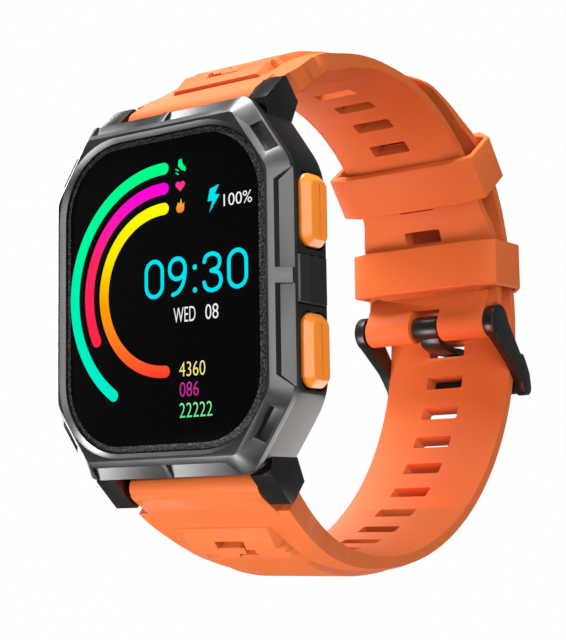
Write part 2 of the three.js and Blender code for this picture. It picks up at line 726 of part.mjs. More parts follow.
const longSlots = [];
for (let angle = longSlotFirst - 10 * longSlotPitch; angle < 60; angle += longSlotPitch) {
  longSlots.push(strapSlot(longCentre, angle, longRadius));
}
addPart('strap_long', cut(
  join(
    strapBody(longCentre, [longStart, -128.5, -126, ...steps(-120, -12, 12), ...steps(-4, 68, 9),
      73, longEnd],
    (a) => longRadius + longInner(a),
    (a) => strapThickness + longThickness(a),
    longHalfWidth, longRaised),
    rodX(...lowerPin, lugKnuckle, -eyeHalfWidth, eyeHalfWidth, 20),
    barX(knuckleWeb(lowerPin, lugKnuckle, longCentre, longStart + 1.5, longRadius,
      longRadius + strapThickness + 1.1), -eyeHalfWidth, eyeHalfWidth),
  ),
  rodX(...lowerPin, eyeBore, -lugOuter, lugOuter, 12),
  ...longSlots,
), 'strapOrange');

const shortInner = run([[88, 0], [113, 0.5], [124, 1.6], [136, 2.7], [shortEnd, 3.8]]);
const shortThickness = run([[80, -0.2], [93, -0.1], [118, 0.9], [128, 1.2], [136, 1.4],
  [shortEnd, 2.0]]);
const shortHalfWidth = run([[shortStart, buckleEndHalfWidth], [17, buckleEndHalfWidth],
  [27, strapHalfWidth], [110, strapHalfWidth], [shortEnd, shoulderHalfWidth]]);
const shortRaised = run([[82, 0.02], [114, 0.45 * blockHeight], [138, 0.7 * blockHeight],
  [141, 0.02]]);
const bucklePin = polar(shortCentre, bucklePinAngle, shortRadius + bucklePinBeyond);
const shortSlots = Array.from({ length: 8 }, (_, i) => strapSlot(
  shortCentre, shortSlotFirst + i * shortSlotPitch, shortRadius));
const buckleEyeOuter = shortRadius + strapThickness - 0.2;
addPart('strap_short', cut(
  join(
    strapBody(shortCentre, [...steps(shortStart, 27, 4), ...steps(36, 136, 11), 138, 141, shortEnd],
      (a) => shortRadius + shortInner(a),
      (a) => strapThickness + shortThickness(a),
      shortHalfWidth, shortRaised),
    rodX(...upperPin, lugKnuckle, -eyeHalfWidth, eyeHalfWidth, 20),
    barX(knuckleWeb(upperPin, lugKnuckle, shortCentre, shortEnd - 1.5, shortRadius + 3.9,
      shortRadius + strapThickness + 5.3), -eyeHalfWidth, eyeHalfWidth),
    rodX(...bucklePin, buckleKnuckle, -strapHalfWidth, strapHalfWidth, 24),
    barX(knuckleWeb(bucklePin, buckleKnuckle, shortCentre, shortStart + 0.5, shortRadius + 0.1,
      buckleEyeOuter), -strapHalfWidth, strapHalfWidth),
  ),
  rodX(...upperPin, eyeBore, -lugOuter, lugOuter, 12),
  rodX(...bucklePin, buckleRod + seat, -lugOuter, lugOuter, 12),
  box(-tongueSlotHalfWidth, tongueSlotHalfWidth, bucklePin[0] - 5, bucklePin[0] + 5,
    bucklePin[1] - 5, bucklePin[1] + 3),
  ...shortSlots,
), 'strapOrange');

// ---------- buckle ----------

const armInner = strapHalfWidth + running;
const armOuter = armInner + armThickness;
const barRadius = longRadius + strapThickness + running + 0.3;
const barFrom = -17.6;
const barTo = -13.0;
const barMiddle = (barFrom + barTo) / 2;

// The bar that lies outside the long half: a short arc around the strap's centre.
function barOutline() {
  return polygon([
    polar(longCentre, barFrom, barRadius), polar(longCentre, barFrom, barRadius + barThickness),
    polar(longCentre, barMiddle, barRadius + barThickness + 0.2),
    polar(longCentre, barTo, barRadius + barThickness), polar(longCentre, barTo, barRadius),
  ]);
}

// One arm: a round eye on the pin, an S shaped leg, and the corner of the bar.
function armOutline() {
  const [py, pz] = bucklePin;
  const outline = new THREE.Shape();
  const start = [py + armRadius * Math.cos(deg(40)), pz + armRadius * Math.sin(deg(40))];
  const under = [py + armRadius * Math.cos(deg(250)), pz + armRadius * Math.sin(deg(250))];
  const outerCorner = polar(longCentre, barTo, barRadius + barThickness);
  const outerEnd = polar(longCentre, barFrom, barRadius + barThickness);
  const innerEnd = polar(longCentre, barFrom, barRadius);
  outline.moveTo(...start);
  outline.absarc(py, pz, armRadius, deg(40), deg(250), false);
  outline.quadraticCurveTo(under[0] + 3.2, under[1] - 1.2, ...innerEnd);
  outline.lineTo(...outerEnd);
  outline.lineTo(...outerCorner);
  outline.quadraticCurveTo(py + 5.4, pz - 2.2, ...start);
  return outline;
}

addPart('buckle_frame', cut(
  join(
    barX(armOutline(), armInner, armOuter, 10),
    barX(armOutline(), -armOuter, -armInner, 10),
    barX(barOutline(), -armOuter, armOuter),
  ),
  rodX(...bucklePin, buckleRod + seat, -armOuter + 0.4, armOuter - 0.4, 12),
), 'blackMetal');

addPart('buckle_pin', rodX(...bucklePin, buckleRod, -armOuter + 0.6, armOuter - 0.6, 12), 'steel');

// The tongue leaves its barrel low, passes through the strap slot and lies over the bar.
function tongueOutline() {
  const [py, pz] = bucklePin;
  const half = tongueThickness / 2;
  const slotIn = polar(longCentre, longSlotFirst, longRadius - 0.8);
  const slotOut = polar(longCentre, longSlotFirst, longRadius + strapThickness + 0.9);
  const overBar = polar(longCentre, barTo, barRadius + barThickness + half + running + 0.2);
  const tip = polar(longCentre, barFrom, barRadius + barThickness + half + running + 0.1);
  const line = new THREE.CatmullRomCurve3([
    new THREE.Vector3(py, pz - tongueBarrel * 0.55, 0),
    new THREE.Vector3(...slotIn, 0),
    new THREE.Vector3(...slotOut, 0),
    new THREE.Vector3(...overBar, 0),
    new THREE.Vector3(...tip, 0),
  ], false, 'centripetal').getPoints(16);
  const upper = [];
  const lower = [];
  line.forEach((point, i) => {
    const ahead = line[Math.min(i + 1, line.length - 1)];
    const behind = line[Math.max(i - 1, 0)];
    const tangent = ahead.clone().sub(behind).normalize();
    upper.push([point.x - tangent.y * half, point.y + tangent.x * half]);
    lower.push([point.x + tangent.y * half, point.y - tangent.x * half]);
  });
  return polygon([...lower, ...upper.reverse()]);
}

addPart('buckle_tongue', cut(
  join(
    rodX(...bucklePin, tongueBarrel, -tongueHalfWidth - 0.4, tongueHalfWidth + 0.4, 20),
    barX(tongueOutline(), -tongueHalfWidth, tongueHalfWidth),
  ),
  rodX(...bucklePin, buckleRod + seat, -lugInner, lugInner, 12),
), 'blackMetal');

// ---------- keepers ----------

// A closed band around both strap layers.  Levels are distances along its own outward direction.
function keeper(innerLevel, outerLevel, cornerLevel) {
  const half = keeperHalfWidth;
  const inside = half - keeperWall;
  const outline = polygon([
    [-half + 4, innerLevel - keeperInnerWall], [half - 4, innerLevel - keeperInnerWall],
    [half, innerLevel - 0.5], [half, cornerLevel], [half - 2.7, outerLevel + keeperOuterWall],
    [-half + 2.7, outerLevel + keeperOuterWall], [-half, cornerLevel], [-half, innerLevel - 0.5],
  ]);
  outline.holes.push(polygon([
    [-inside + 3, innerLevel], [-inside, innerLevel + 0.7], [-inside, cornerLevel],
    [-inside + 1.9, outerLevel], [inside - 1.9, outerLevel], [inside, cornerLevel],
    [inside, innerLevel + 0.7], [inside - 3, innerLevel],
  ]));
  const geometry = new THREE.ExtrudeGeometry(outline, { depth: keeperLength, bevelEnabled: false });
  geometry.translate(0, 0, -keeperLength / 2);
  return geometry;
}

// The fixed keeper lies along Z.  Its far edge sets the inner level and its near edge the outer.
const fixedKeeperZ = shortCentre.y + fixedKeeperUp;
const farEdge = fixedKeeperUp + keeperLength / 2;
const nearEdge = fixedKeeperZ - keeperLength / 2 - longCentre.y;
const fixedInner = shortCentre.x + Math.sqrt(shortRadius ** 2 - farEdge ** 2) - running;
const fixedOuter = longCentre.x + Math.sqrt((longRadius + strapThickness) ** 2 - nearEdge ** 2)
  + keeperSlack;
const fixedKeeper = keeper(fixedInner, fixedOuter, fixedOuter - 2.2);
fixedKeeper.translate(0, 0, fixedKeeperZ);
addPart('keeper_fixed', fixedKeeper, 'strapOrange');

// The free keeper turns about the short half's centre, over the long half's outer face there.
const outwards = new THREE.Vector2(Math.cos(deg(freeKeeperAngle)), Math.sin(deg(freeKeeperAngle)));
const outerFace = longRadius + longInner(freeKeeperAngle) + strapThickness
  + longThickness(freeKeeperAngle);
const across = centreStep.dot(outwards);
const freeOuter = Math.sqrt(across ** 2 + outerFace ** 2 - centreStep.lengthSq()) - across
  + freeKeeperSlack;
const freeKeeper = keeper(shortRadius - 0.35, freeOuter, freeOuter - 1.1);
freeKeeper.rotateX(deg(freeKeeperAngle));
freeKeeper.translate(0, shortCentre.x, shortCentre.y);
addPart('keeper_free', freeKeeper, 'strapOrange');

export default group;
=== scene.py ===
# GPS running watch on its closed strap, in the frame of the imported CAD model.
# Pieces are modelled in millimetres and scaled to metres when they are finished.
import math

import bmesh
import bpy
from mathutils import Matrix, Vector


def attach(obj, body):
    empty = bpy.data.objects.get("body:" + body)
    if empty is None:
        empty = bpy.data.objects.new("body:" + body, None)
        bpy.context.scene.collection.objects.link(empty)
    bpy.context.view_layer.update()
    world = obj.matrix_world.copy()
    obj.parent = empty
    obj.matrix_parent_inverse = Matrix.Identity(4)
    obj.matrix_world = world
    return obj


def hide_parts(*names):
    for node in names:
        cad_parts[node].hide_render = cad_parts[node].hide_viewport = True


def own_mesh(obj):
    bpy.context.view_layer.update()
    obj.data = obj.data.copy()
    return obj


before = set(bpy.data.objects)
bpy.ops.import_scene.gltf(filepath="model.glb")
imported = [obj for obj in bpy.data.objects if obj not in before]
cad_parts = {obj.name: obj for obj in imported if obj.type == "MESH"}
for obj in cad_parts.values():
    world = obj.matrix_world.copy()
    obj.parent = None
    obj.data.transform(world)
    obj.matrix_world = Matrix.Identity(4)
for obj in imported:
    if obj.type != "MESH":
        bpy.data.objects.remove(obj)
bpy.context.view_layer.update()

MM = 0.001

# ---------- sizes, millimetres; strap angles, degrees ----------

CASE_HALF_WIDTH = 20.5
CASE_HALF_HEIGHT = 24.4
CORNER_CUT = 5.5            # corner flat, in from the square corner
CORNER_SLOPE = 0.607        # its normal's direction above +X, radians
CORNER_BLEND = 1.7          # reach of the rounding at each outline bend

BEZEL_BACK = -9.9
BEZEL_SHOULDER = -10.9
BEZEL_FRONT = -12.9
RIM_INSET = 2.35            # front edge of the bezel's slope, in from the outline
OPENING_HALF = (17.3, 21.1)
OPENING_CORNER = 9.95
RIM_CHAMFER = 0.6           # width and depth of the chamfer inside the rim
LEDGE_LEVEL = -11.25        # inner edge of the steps cut into the bezel's slope
LEDGE_FALL = 0.5            # how much the step's floor falls for each millimetre outwards
STEP_INNER = (18.8, 22.8)   # where the steps begin, on the sides and on the ends
STEP_OUTER = (22.0, 26.0)
POCKET_FLOOR = -11.1
POCKET_PLACE = 5.4          # middle of the corner pocket along its flat

GLASS_HALF = (17.15, 20.95)
GLASS_CORNER = 9.8
GLASS_FRONT = -12.3
GLASS_BACK = -11.4
GLASS_EDGE = 0.8            # width of the sloping edge of the glass
GLASS_DROP = 0.3
GLASS_EDGE_SHARES = (0.55, 0.3, 0.15)   # the edge curves over in three slopes
GLASS_EDGE_FALL = 0.62

CASE_FRONT = -9.75
CASE_CORNER_BLEND = 3.1
CASE_SIDE = 20.25
CASE_BACK = -1.8
REAR_BEVEL = 1.5
REAR_BEVEL_INSET = 1.0
WALL = 2.6
BACK_SEAT_INSET = 1.8
BACK_SEAT_FLOOR = -3.7
BEYOND_CASE = 22            # past the case's sides, where cutting tools end
GUARD_POCKET = ((CASE_SIDE - 1.3, BEYOND_CASE), (-9.75, -3.35), (-3.25, 3.25))
SIDE_HOLE_REACH = (-BEYOND_CASE, -17)
SPEAKER_SLOT_Y = (-7.4, -4.8)
SPEAKER_SLOT_PLACES = (-9, -7, -5)
SPEAKER_SLOT_HALF = 0.5
MICROPHONE_PLACE = (-6.1, 8)
MICROPHONE_RADIUS = 0.5

BUTTON_Y = -6.1
BUTTON_Z = 9.0
BUTTON_WIDTH = 5.2
BUTTON_LENGTH = 9.5
BUTTON_FACE = 21.2
BUTTON_BACK = 19.9
BUTTON_CORNER = 1.75
BUTTON_SLOPE = 0.75         # width of the cap's sloping edge, and its height with the crown
BUTTON_LEAN = 0.3           # how far back the crown lies
BUTTON_CROWN_EDGE = 0.2
BUTTON_CROWN_RISE = 0.15
CREASE_HALF = (0.12, 3.4)
CREASE_CORNER = 0.11
CREASE_OFFSET = 0.35
CREASE_DEPTH = 0.3
BUTTON_POCKET_FLOOR = 19.3
GUARD_HALF_LENGTH = 3.1
RUNNING = 0.3

LUG_INNER = 11.6
LUG_OUTER = 15.0
LUG_PIN = (-4.3, 25.4)      # Y, and Z above or below the middle
LUG_KNUCKLE = 2.1
PIN_RADIUS = 0.75
PIN_HOLE = PIN_RADIUS + 0.15

STRAP_HALF_WIDTH = 11.2
SHOULDER_HALF_WIDTH = 13.0
BUCKLE_END_HALF_WIDTH = 12.3
STRAP_THICKNESS = 2.7
BAND_STEP = 0.9
BAND_WIDTH = 3.7
BAND_LIP = (0.8, 0.13)      # width and droop of the inner band's edge
EDGE_BLEND = 1.3            # width of the slope along the strap's outer edges
BLOCK_HALF_WIDTH = 7.4
BLOCK_MARGIN = 1.5          # least distance from the raised block to the strap's edge
BLOCK_SLOPE = 0.5
NOTCH_REACH = 4
LONG_CENTRE = (24.2, 1.94)
LONG_RADIUS = 36.45
SHORT_CENTRE = (27.0, 6.9)
SHORT_RADIUS = 28.3
SLOT_SIZE = (6.75, 2.2)
SLOT_CORNER = 0.35
SLOT_REACH = 6
LONG_SLOT_PITCH = 8.63
LONG_SLOT_FIRST = -6.5      # the slot that the tongue is in
LONG_SLOTS_BELOW = 10
LONG_SLOT_LIMIT = 60
SHORT_SLOT_PITCH = 11.17
SHORT_SLOT_FIRST = 19.0
SHORT_SLOTS = 8

BUCKLE_PIN = (55.173, 1.168)
BUCKLE_KNUCKLE = 2.4
ARM_INNER = 11.5
ARM_OUTER = 13.2
ARM_RADIUS = 2.7
BAR_RADIUS = 39.75          # the bar's inner face, about the long strap's centre
BAR_THICKNESS = 2.3
BAR_ANGLES = (-17.6, -13.0)
BAR_CENTRE = (63.7, -8.95)  # middle of the arms' round ends
BAR_END_RADIUS = 1.3
BAR_MIDDLE = (63.65, -8.45)
BAR_HALF = (1.0, 1.5)
BAR_CORNER = 0.9
BAR_SINK = 0.5              # how far the bar goes into each arm
ARM_SKIN = 0.4              # metal left outside each end of the pin
TONGUE_BARREL = 1.9
TONGUE_HALF_WIDTH = 1.8
TONGUE_BARREL_EXTRA = 0.4   # how much wider the barrel is than the blade, on each side
TONGUE_ROOM = (2.75, 5, 3)  # half width, reach and rise of the gap in the strap's eye
TONGUE_THICKNESS = 1.1
TONGUE_THROUGH = -6.95      # a little low in its slot, which leaves room for the swing

KEEPER_HALF_WIDTH = 13.7
KEEPER_LENGTH = 7.4
KEEPER_WALL = 1.0           # at the strap's edges
KEEPER_INNER_WALL = 1.8
KEEPER_OUTER_WALL = 1.5
FIXED_KEEPER_LEVELS = (54.0, 63.6, 61.4)    # opening's inner and outer side, and its corner
FREE_KEEPER_LEVELS = (SHORT_RADIUS - 0.35, 36.0, 34.9)
FIXED_KEEPER_Z = 10.7
FREE_KEEPER_ANGLE = 37.2

# ---------- camera and light ----------

CAMERA_AZIMUTH = math.radians(36.562)
CAMERA_ELEVATION = math.radians(-7.355)
CAMERA_ROLL = math.radians(-0.898)
CAMERA_DISTANCE = 220.766
CAMERA_SHIFT = (8.721, -2.656)  # sideways and upwards, millimetres
CAMERA_LENS = 90.28
BACKDROP_LIGHT = 1.0        # the white that shows behind the watch
ROOM_LIGHT = 0.17           # and what it gives to the watch
BOUNCE_TINT = (1, 0.1, 0.04)    # orange light thrown up inside the closed strap


def place_camera():
    across = math.cos(CAMERA_ELEVATION)
    back = Vector((math.sin(CAMERA_AZIMUTH) * across, -math.cos(CAMERA_AZIMUTH) * across,
                   math.sin(CAMERA_ELEVATION)))
    right = (-back).cross(Vector((0, 0, 1))).normalized()
    up = right.cross(-back)
    rolled_right = math.cos(CAMERA_ROLL) * right + math.sin(CAMERA_ROLL) * up
    rolled_up = math.cos(CAMERA_ROLL) * up - math.sin(CAMERA_ROLL) * right
    where = (rolled_right * CAMERA_SHIFT[0] + rolled_up * CAMERA_SHIFT[1]
             + back * CAMERA_DISTANCE) * MM
    bpy.ops.object.camera_add()
    camera = bpy.context.object
    turn = Matrix((rolled_right, rolled_up, back)).transposed().to_4x4()
    camera.matrix_world = Matrix.Translation(where) @ turn
    camera.data.lens = CAMERA_LENS
    camera.data.sensor_width = 36
    camera.data.clip_start = 0.01
    bpy.context.scene.camera = camera


def softbox(name, place, aim, size, watts, tint=(1, 1, 1)):
    bpy.ops.object.light_add(type="AREA", location=place)
    light = bpy.context.object
    light.name = name
    light.data.shape = "RECTANGLE"
    light.data.size, light.data.size_y = size
    light.data.energy = watts
    light.data.color = tint
    light.visible_camera = False
    light.rotation_euler = (Vector(aim) - Vector(place)).to_track_quat("-Z", "Y").to_euler()


def set_the_stage():
    world = bpy.data.worlds.new("studio")
    world.use_nodes = True
    nodes = world.node_tree.nodes
    links = world.node_tree.links
    nodes["Background"].inputs["Color"].default_value = (1, 1, 1, 1)
    path = nodes.new("ShaderNodeLightPath")
    level = nodes.new("ShaderNodeMapRange")
    level.inputs["To Min"].default_value = ROOM_LIGHT
    level.inputs["To Max"].default_value = BACKDROP_LIGHT
    links.new(path.outputs["Is Camera Ray"], level.inputs["Value"])
    links.new(level.outputs["Result"], nodes["Background"].inputs["Strength"])
    bpy.context.scene.world = world
    bpy.context.scene.view_settings.view_transform = "Standard"
    softbox("top_softbox", (-0.06, -0.08, 0.43), (0, 0.02, 0), (0.25, 0.25), 5.0)
    softbox("left_softbox", (-0.42, 0.22, 0.06), (0, 0, 0), (0.3, 0.5), 2.6)
    softbox("key_softbox", (0.46, -0.32, 0.08), (0.02, 0, 0), (0.6, 0.6), 3.2)
    softbox("low_softbox", (-0.14, -0.34, -0.34), (0, 0, -0.02), (0.4, 0.3), 3.9)
    softbox("bounce_light", (0.0, 0.03, -0.027), (0, 0.036, 0.03), (0.02, 0.03), 0.008, BOUNCE_TINT)
    softbox("rear_floor_softbox", (0.16, 0.42, -0.28), (0, 0.03, -0.02), (0.5, 0.3), 1.3)


# ---------- modelling helpers ----------

def activate(piece):
    bpy.ops.object.select_all(action="DESELECT")
    piece.select_set(True)
    bpy.context.view_layer.objects.active = piece


def apply_place():
    bpy.ops.object.transform_apply(location=True, rotation=True, scale=True)


def placed(name):
    """The new primitive, named, with its place in its mesh."""
    piece = bpy.context.object
    piece.name = name
    apply_place()
    return piece


def edit(piece):
    activate(piece)
    bpy.ops.object.mode_set(mode="EDIT")
    bpy.ops.mesh.select_all(action="SELECT")


def leave_edit():
    bpy.ops.object.mode_set(mode="OBJECT")


def extend(step):
    """What is selected in edit mode, extruded by a step."""
    bpy.ops.mesh.extrude_region_move(TRANSFORM_OT_translate={"value": step})


def drawn(name, points):
    """A filled flat outline, drawn corner by corner by extruding one vertex."""
    bpy.ops.object.select_all(action="DESELECT")
    bpy.ops.mesh.primitive_plane_add(size=0.1, location=points[0])
    piece = placed(name)
    edit(piece)
    bpy.ops.mesh.merge(type="CENTER")
    for here, there in zip(points, points[1:]):
        extend(Vector(there) - Vector(here))
    bpy.ops.mesh.select_all(action="SELECT")
    bpy.ops.mesh.edge_face_add()
    leave_edit()
    return piece


def pull(piece, step):
    """The outline's face extruded by a step."""
    edit(piece)
    extend(step)
    leave_edit()
    return piece


def outwards(piece):
    """Doubled points merged and every face turned outwards."""
    edit(piece)
    bpy.ops.mesh.remove_doubles(threshold=0.0005)
    bpy.ops.mesh.normals_make_consistent(inside=False)
    leave_edit()
    return piece


def plate_y(name, outline, y_from, y_to):
    """An outline in X and Z, extruded along Y."""
    piece = drawn(name, [(x, y_from, z) for x, z in outline])
    return outwards(pull(piece, (0, y_to - y_from, 0)))


def bar_x(name, outline, x_from, x_to):
    """An outline in Y and Z, extruded along X."""
    piece = drawn(name, [(x_from, y, z) for y, z in outline])
    return outwards(pull(piece, (x_to - x_from, 0, 0)))


def block(name, x, y, z):
    """A box between two values on each axis."""
    centre = [(a + b) / 2 for a, b in (x, y, z)]
    bpy.ops.object.select_all(action="DESELECT")
    bpy.ops.mesh.primitive_cube_add(size=1, location=centre)
    bpy.context.object.scale = [abs(b - a) for a, b in (x, y, z)]
    return placed(name)


def rod_x(name, centre, radius, x_from, x_to, sides=48):
    bpy.ops.object.select_all(action="DESELECT")
    bpy.ops.mesh.primitive_cylinder_add(
        vertices=sides, radius=radius, depth=x_to - x_from,
        location=((x_from + x_to) / 2, *centre), rotation=(0, math.pi / 2, 0))
    return placed(name)


def group_of(pieces):
    """Several separate shapes as one object."""
    activate(pieces[0])
    for piece in pieces[1:]:
        piece.select_set(True)
    bpy.ops.object.join()
    return bpy.context.object


def combine(piece, other, operation):
    activate(piece)
    modifier = piece.modifiers.new(operation.lower(), "BOOLEAN")
    modifier.operation = operation
    modifier.solver = "EXACT"
    modifier.use_self = True
    modifier.object = other
    bpy.ops.object.modifier_apply(modifier=modifier.name)
    bpy.data.objects.remove(other)
    return piece


def cut(piece, *tools):
    for tool in tools:
        combine(piece, tool, "DIFFERENCE")
    return piece


def add(piece, *others):
    for other in others:
        combine(piece, other, "UNION")
    return piece


def soften(piece, width, segments=2, angle=28):
    """Edges sharper than the angle get a small round, as moulded and milled edges have."""
    activate(piece)
    modifier = piece.modifiers.new("edge_round", "BEVEL")
    modifier.width = width
    modifier.segments = segments
    modifier.limit_method = "ANGLE"
    modifier.angle_limit = math.radians(angle)
    modifier.harden_normals = False
    modifier.miter_outer = "MITER_ARC"
    bpy.ops.object.modifier_apply(modifier=modifier.name)
    return piece


def finish_piece(piece, body, slot, nodes, *materials, smooth=32):
    """Shaded, scaled to metres, painted and tied to its body."""
    activate(piece)
    bpy.ops.object.shade_smooth_by_angle(angle=math.radians(smooth))
    piece.scale = (MM, MM, MM)
    apply_place()
    piece.data.name = piece.name
    if not piece.data.materials:
        for material in materials:
            piece.data.materials.append(material)
    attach(piece, body)
    if nodes:
        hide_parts(*nodes)
    return piece


# ---------- outlines ----------

def arc(centre, radius, start, end, count):
    """Points along an arc, angles in degrees."""
    turns = [math.radians(start + (end - start) * i / count) for i in range(count + 1)]
    return [(centre[0] + radius * math.cos(t), centre[1] + radius * math.sin(t)) for t in turns]


def polar(centre, angle, radius):
    turn = math.radians(angle)
    return centre[0] + radius * math.cos(turn), centre[1] + radius * math.sin(turn)


def blended(corners, reach, count=6):
    """A closed outline with each corner rounded by a quadratic blend."""
    points = []
    for i, corner in enumerate(corners):
        corner = Vector(corner)
        before = Vector(corners[i - 1])
        after = Vector(corners[(i + 1) % len(corners)])
        into = corner + (before - corner).normalized() * reach
        out = corner + (after - corner).normalized() * reach
        for k in range(count + 1):
            t = k / count
            point = into * (1 - t) ** 2 + corner * 2 * t * (1 - t) + out * t ** 2
            points.append((point.x, point.y))
    return points


def case_outline(inset, blend=CORNER_BLEND):
    """The eight-sided case outline, moved in on every side."""
    half_width = CASE_HALF_WIDTH - inset
    half_height = CASE_HALF_HEIGHT - inset
    nx = math.cos(CORNER_SLOPE)
    nz = math.sin(CORNER_SLOPE)
    reach = nx * CASE_HALF_WIDTH + nz * CASE_HALF_HEIGHT - CORNER_CUT - inset
    side_z = (reach - nx * half_width) / nz
    top_x = (reach - nz * half_height) / nx
    quarter = [(half_width, side_z), (top_x, half_height)]
    corners = quarter + [(-x, z) for x, z in reversed(quarter)]
    corners += [(-x, -z) for x, z in quarter] + [(x, -z) for x, z in reversed(quarter)]
    return blended(corners, blend)


def rounded(half, corner, centre=(0, 0), count=12):
    """A rectangle with round corners."""
    points = []
    for i, (sx, sz) in enumerate(((1, 1), (-1, 1), (-1, -1), (1, -1))):
        middle = (centre[0] + sx * (half[0] - corner), centre[1] + sz * (half[1] - corner))
        points += arc(middle, corner, 90 * i, 90 * i + 90, count)
    return points


def smooth_run(pairs):
    """A smooth curve of values through (angle, value) pairs."""
    padded = [pairs[0]] + list(pairs) + [pairs[-1]]
    def value(angle):
        if angle <= pairs[0][0]:
            return pairs[0][1]
        for (b, c, d, e) in zip(padded, padded[1:], padded[2:], padded[3:]):
            if angle <= d[0]:
                span = d[0] - c[0]
                t = (angle - c[0]) / span
                rise_in = (d[1] - b[1]) / (d[0] - b[0]) * span
                rise_out = (e[1] - c[1]) / (e[0] - c[0]) * span
                return (c[1] * (2 * t ** 3 - 3 * t ** 2 + 1) + rise_in * (t ** 3 - 2 * t ** 2 + t)
                        + d[1] * (3 * t ** 2 - 2 * t ** 3) + rise_out * (t ** 3 - t ** 2))
        return pairs[-1][1]
    return value


def straight_run(pairs):
    """Values through (angle, value) pairs in straight lines, for steps and ramps."""
    def value(angle):
        if angle <= pairs[0][0]:
            return pairs[0][1]
        for (a0, v0), (a1, v1) in zip(pairs, pairs[1:]):
            if angle <= a1:
                return v0 + (v1 - v0) * (angle - a0) / (a1 - a0)
        return pairs[-1][1]
    return value


def swept(name, rings):
    """A closed body through rings of equal point counts, extruded ring by ring."""
    piece = drawn(name, rings[0])
    edit(piece)
    mesh = bmesh.from_edit_mesh(piece.data)
    face = mesh.faces[:][0]
    order = [min(range(len(rings[0])), key=lambda i: (Vector(rings[0][i]) - v.co).length)
             for v in face.verts]
    for ring in rings[1:]:
        extend((0, 0, 0))
        mesh = bmesh.from_edit_mesh(piece.data)
        face = [f for f in mesh.faces if f.select][0]
        for vertex, i in zip(face.verts, order):
            vertex.co = ring[i]
        bmesh.update_edit_mesh(piece.data)
    leave_edit()
    return outwards(piece)


def spline(points, count):
    """A smooth line through every point, with count steps between each two."""
    line = []
    padded = [points[0]] + points + [points[-1]]
    for i in range(len(points) - 1):
        p0, p1, p2, p3 = (Vector(p) for p in padded[i:i + 4])
        for k in range(count):
            t = k / count
            line.append(0.5 * (2 * p1 + (p2 - p0) * t + (2 * p0 - 5 * p1 + 4 * p2 - p3) * t ** 2
                               + (3 * p1 - p0 - 3 * p2 + p3) * t ** 3))
    return line + [Vector(points[-1])]


def both_sides(path, half):
    """The left and right sides of a line that is given a width."""
    left = []
    right = []
    for i, point in enumerate(path):
        ahead = Vector(path[min(i + 1, len(path) - 1)])
        behind = Vector(path[max(i - 1, 0)])
        along = (ahead - behind).normalized()
        side = Vector((-along.y, along.x)) * half
        left.append(Vector(point) + side)
        right.append(Vector(point) - side)
    return left, right


# ---------- materials ----------

def blank(name):
    """A new material, with its nodes, its links and its main shader."""
    material = bpy.data.materials.new(name)
    material.use_nodes = True
    nodes = material.node_tree.nodes
    return material, nodes, material.node_tree.links, nodes["Principled BSDF"]


def noise(nodes, links, where, scale, detail):
    texture = nodes.new("ShaderNodeTexNoise")
    texture.inputs["Scale"].default_value = scale
    texture.inputs["Detail"].default_value = detail
    links.new(where.outputs["Object"], texture.inputs["Vector"])
    return texture.outputs["Fac"]


def ramp(nodes, links, value, stops):
    """A value turned into colour: stops are (position, colour), lowest first."""
    node = nodes.new("ShaderNodeValToRGB")
    links.new(value, node.inputs["Fac"])
    elements = node.color_ramp.elements
    while len(elements) < len(stops):
        elements.new(0.5)
    for element, (position, colour) in zip(elements, stops):
        element.position = position
        element.color = (*colour, 1)
    return node.outputs["Color"]


def relief(nodes, links, height, strength, distance, shader):
    bump = nodes.new("ShaderNodeBump")
    bump.inputs["Strength"].default_value = strength
    bump.inputs["Distance"].default_value = distance
    links.new(height, bump.inputs["Height"])
    links.new(bump.outputs["Normal"], shader.inputs["Normal"])


def grained(name, colour, roughness, metallic=0.0, grain=6000, colour_play=0.08,
            rough_play=0.06, bump=0.02, coat=0.0, specular=0.5):
    """A finish with fine grain in its colour, roughness and surface."""
    material, nodes, links, shader = blank(name)
    shader.inputs["Metallic"].default_value = metallic
    shader.inputs["Specular IOR Level"].default_value = specular
    shader.inputs["Coat Weight"].default_value = coat
    shader.inputs["Coat Roughness"].default_value = 0.08
    where = nodes.new("ShaderNodeTexCoord")
    fine = noise(nodes, links, where, grain, 3)
    broad = noise(nodes, links, where, grain / 60, 2)
    blend = nodes.new("ShaderNodeMath")
    blend.operation = "ADD"
    links.new(fine, blend.inputs[0])
    links.new(broad, blend.inputs[1])
    dark = [c * (1 - colour_play) for c in colour]
    light = [min(1, c * (1 + colour_play)) for c in colour]
    halve = nodes.new("ShaderNodeMath")
    halve.operation = "MULTIPLY"
    halve.inputs[1].default_value = 0.5
    links.new(blend.outputs[0], halve.inputs[0])
    mixed = ramp(nodes, links, halve.outputs[0], [(0.35, dark), (0.65, light)])
    links.new(mixed, shader.inputs["Base Color"])
    spread = nodes.new("ShaderNodeMapRange")
    spread.inputs["From Min"].default_value = 0.3
    spread.inputs["From Max"].default_value = 0.7
    spread.inputs["To Min"].default_value = max(0.02, roughness - rough_play)
    spread.inputs["To Max"].default_value = roughness + rough_play
    links.new(broad, spread.inputs["Value"])
    links.new(spread.outputs["Result"], shader.inputs["Roughness"])
    if bump:
        relief(nodes, links, fine, bump, 0.0001, shader)
    return material


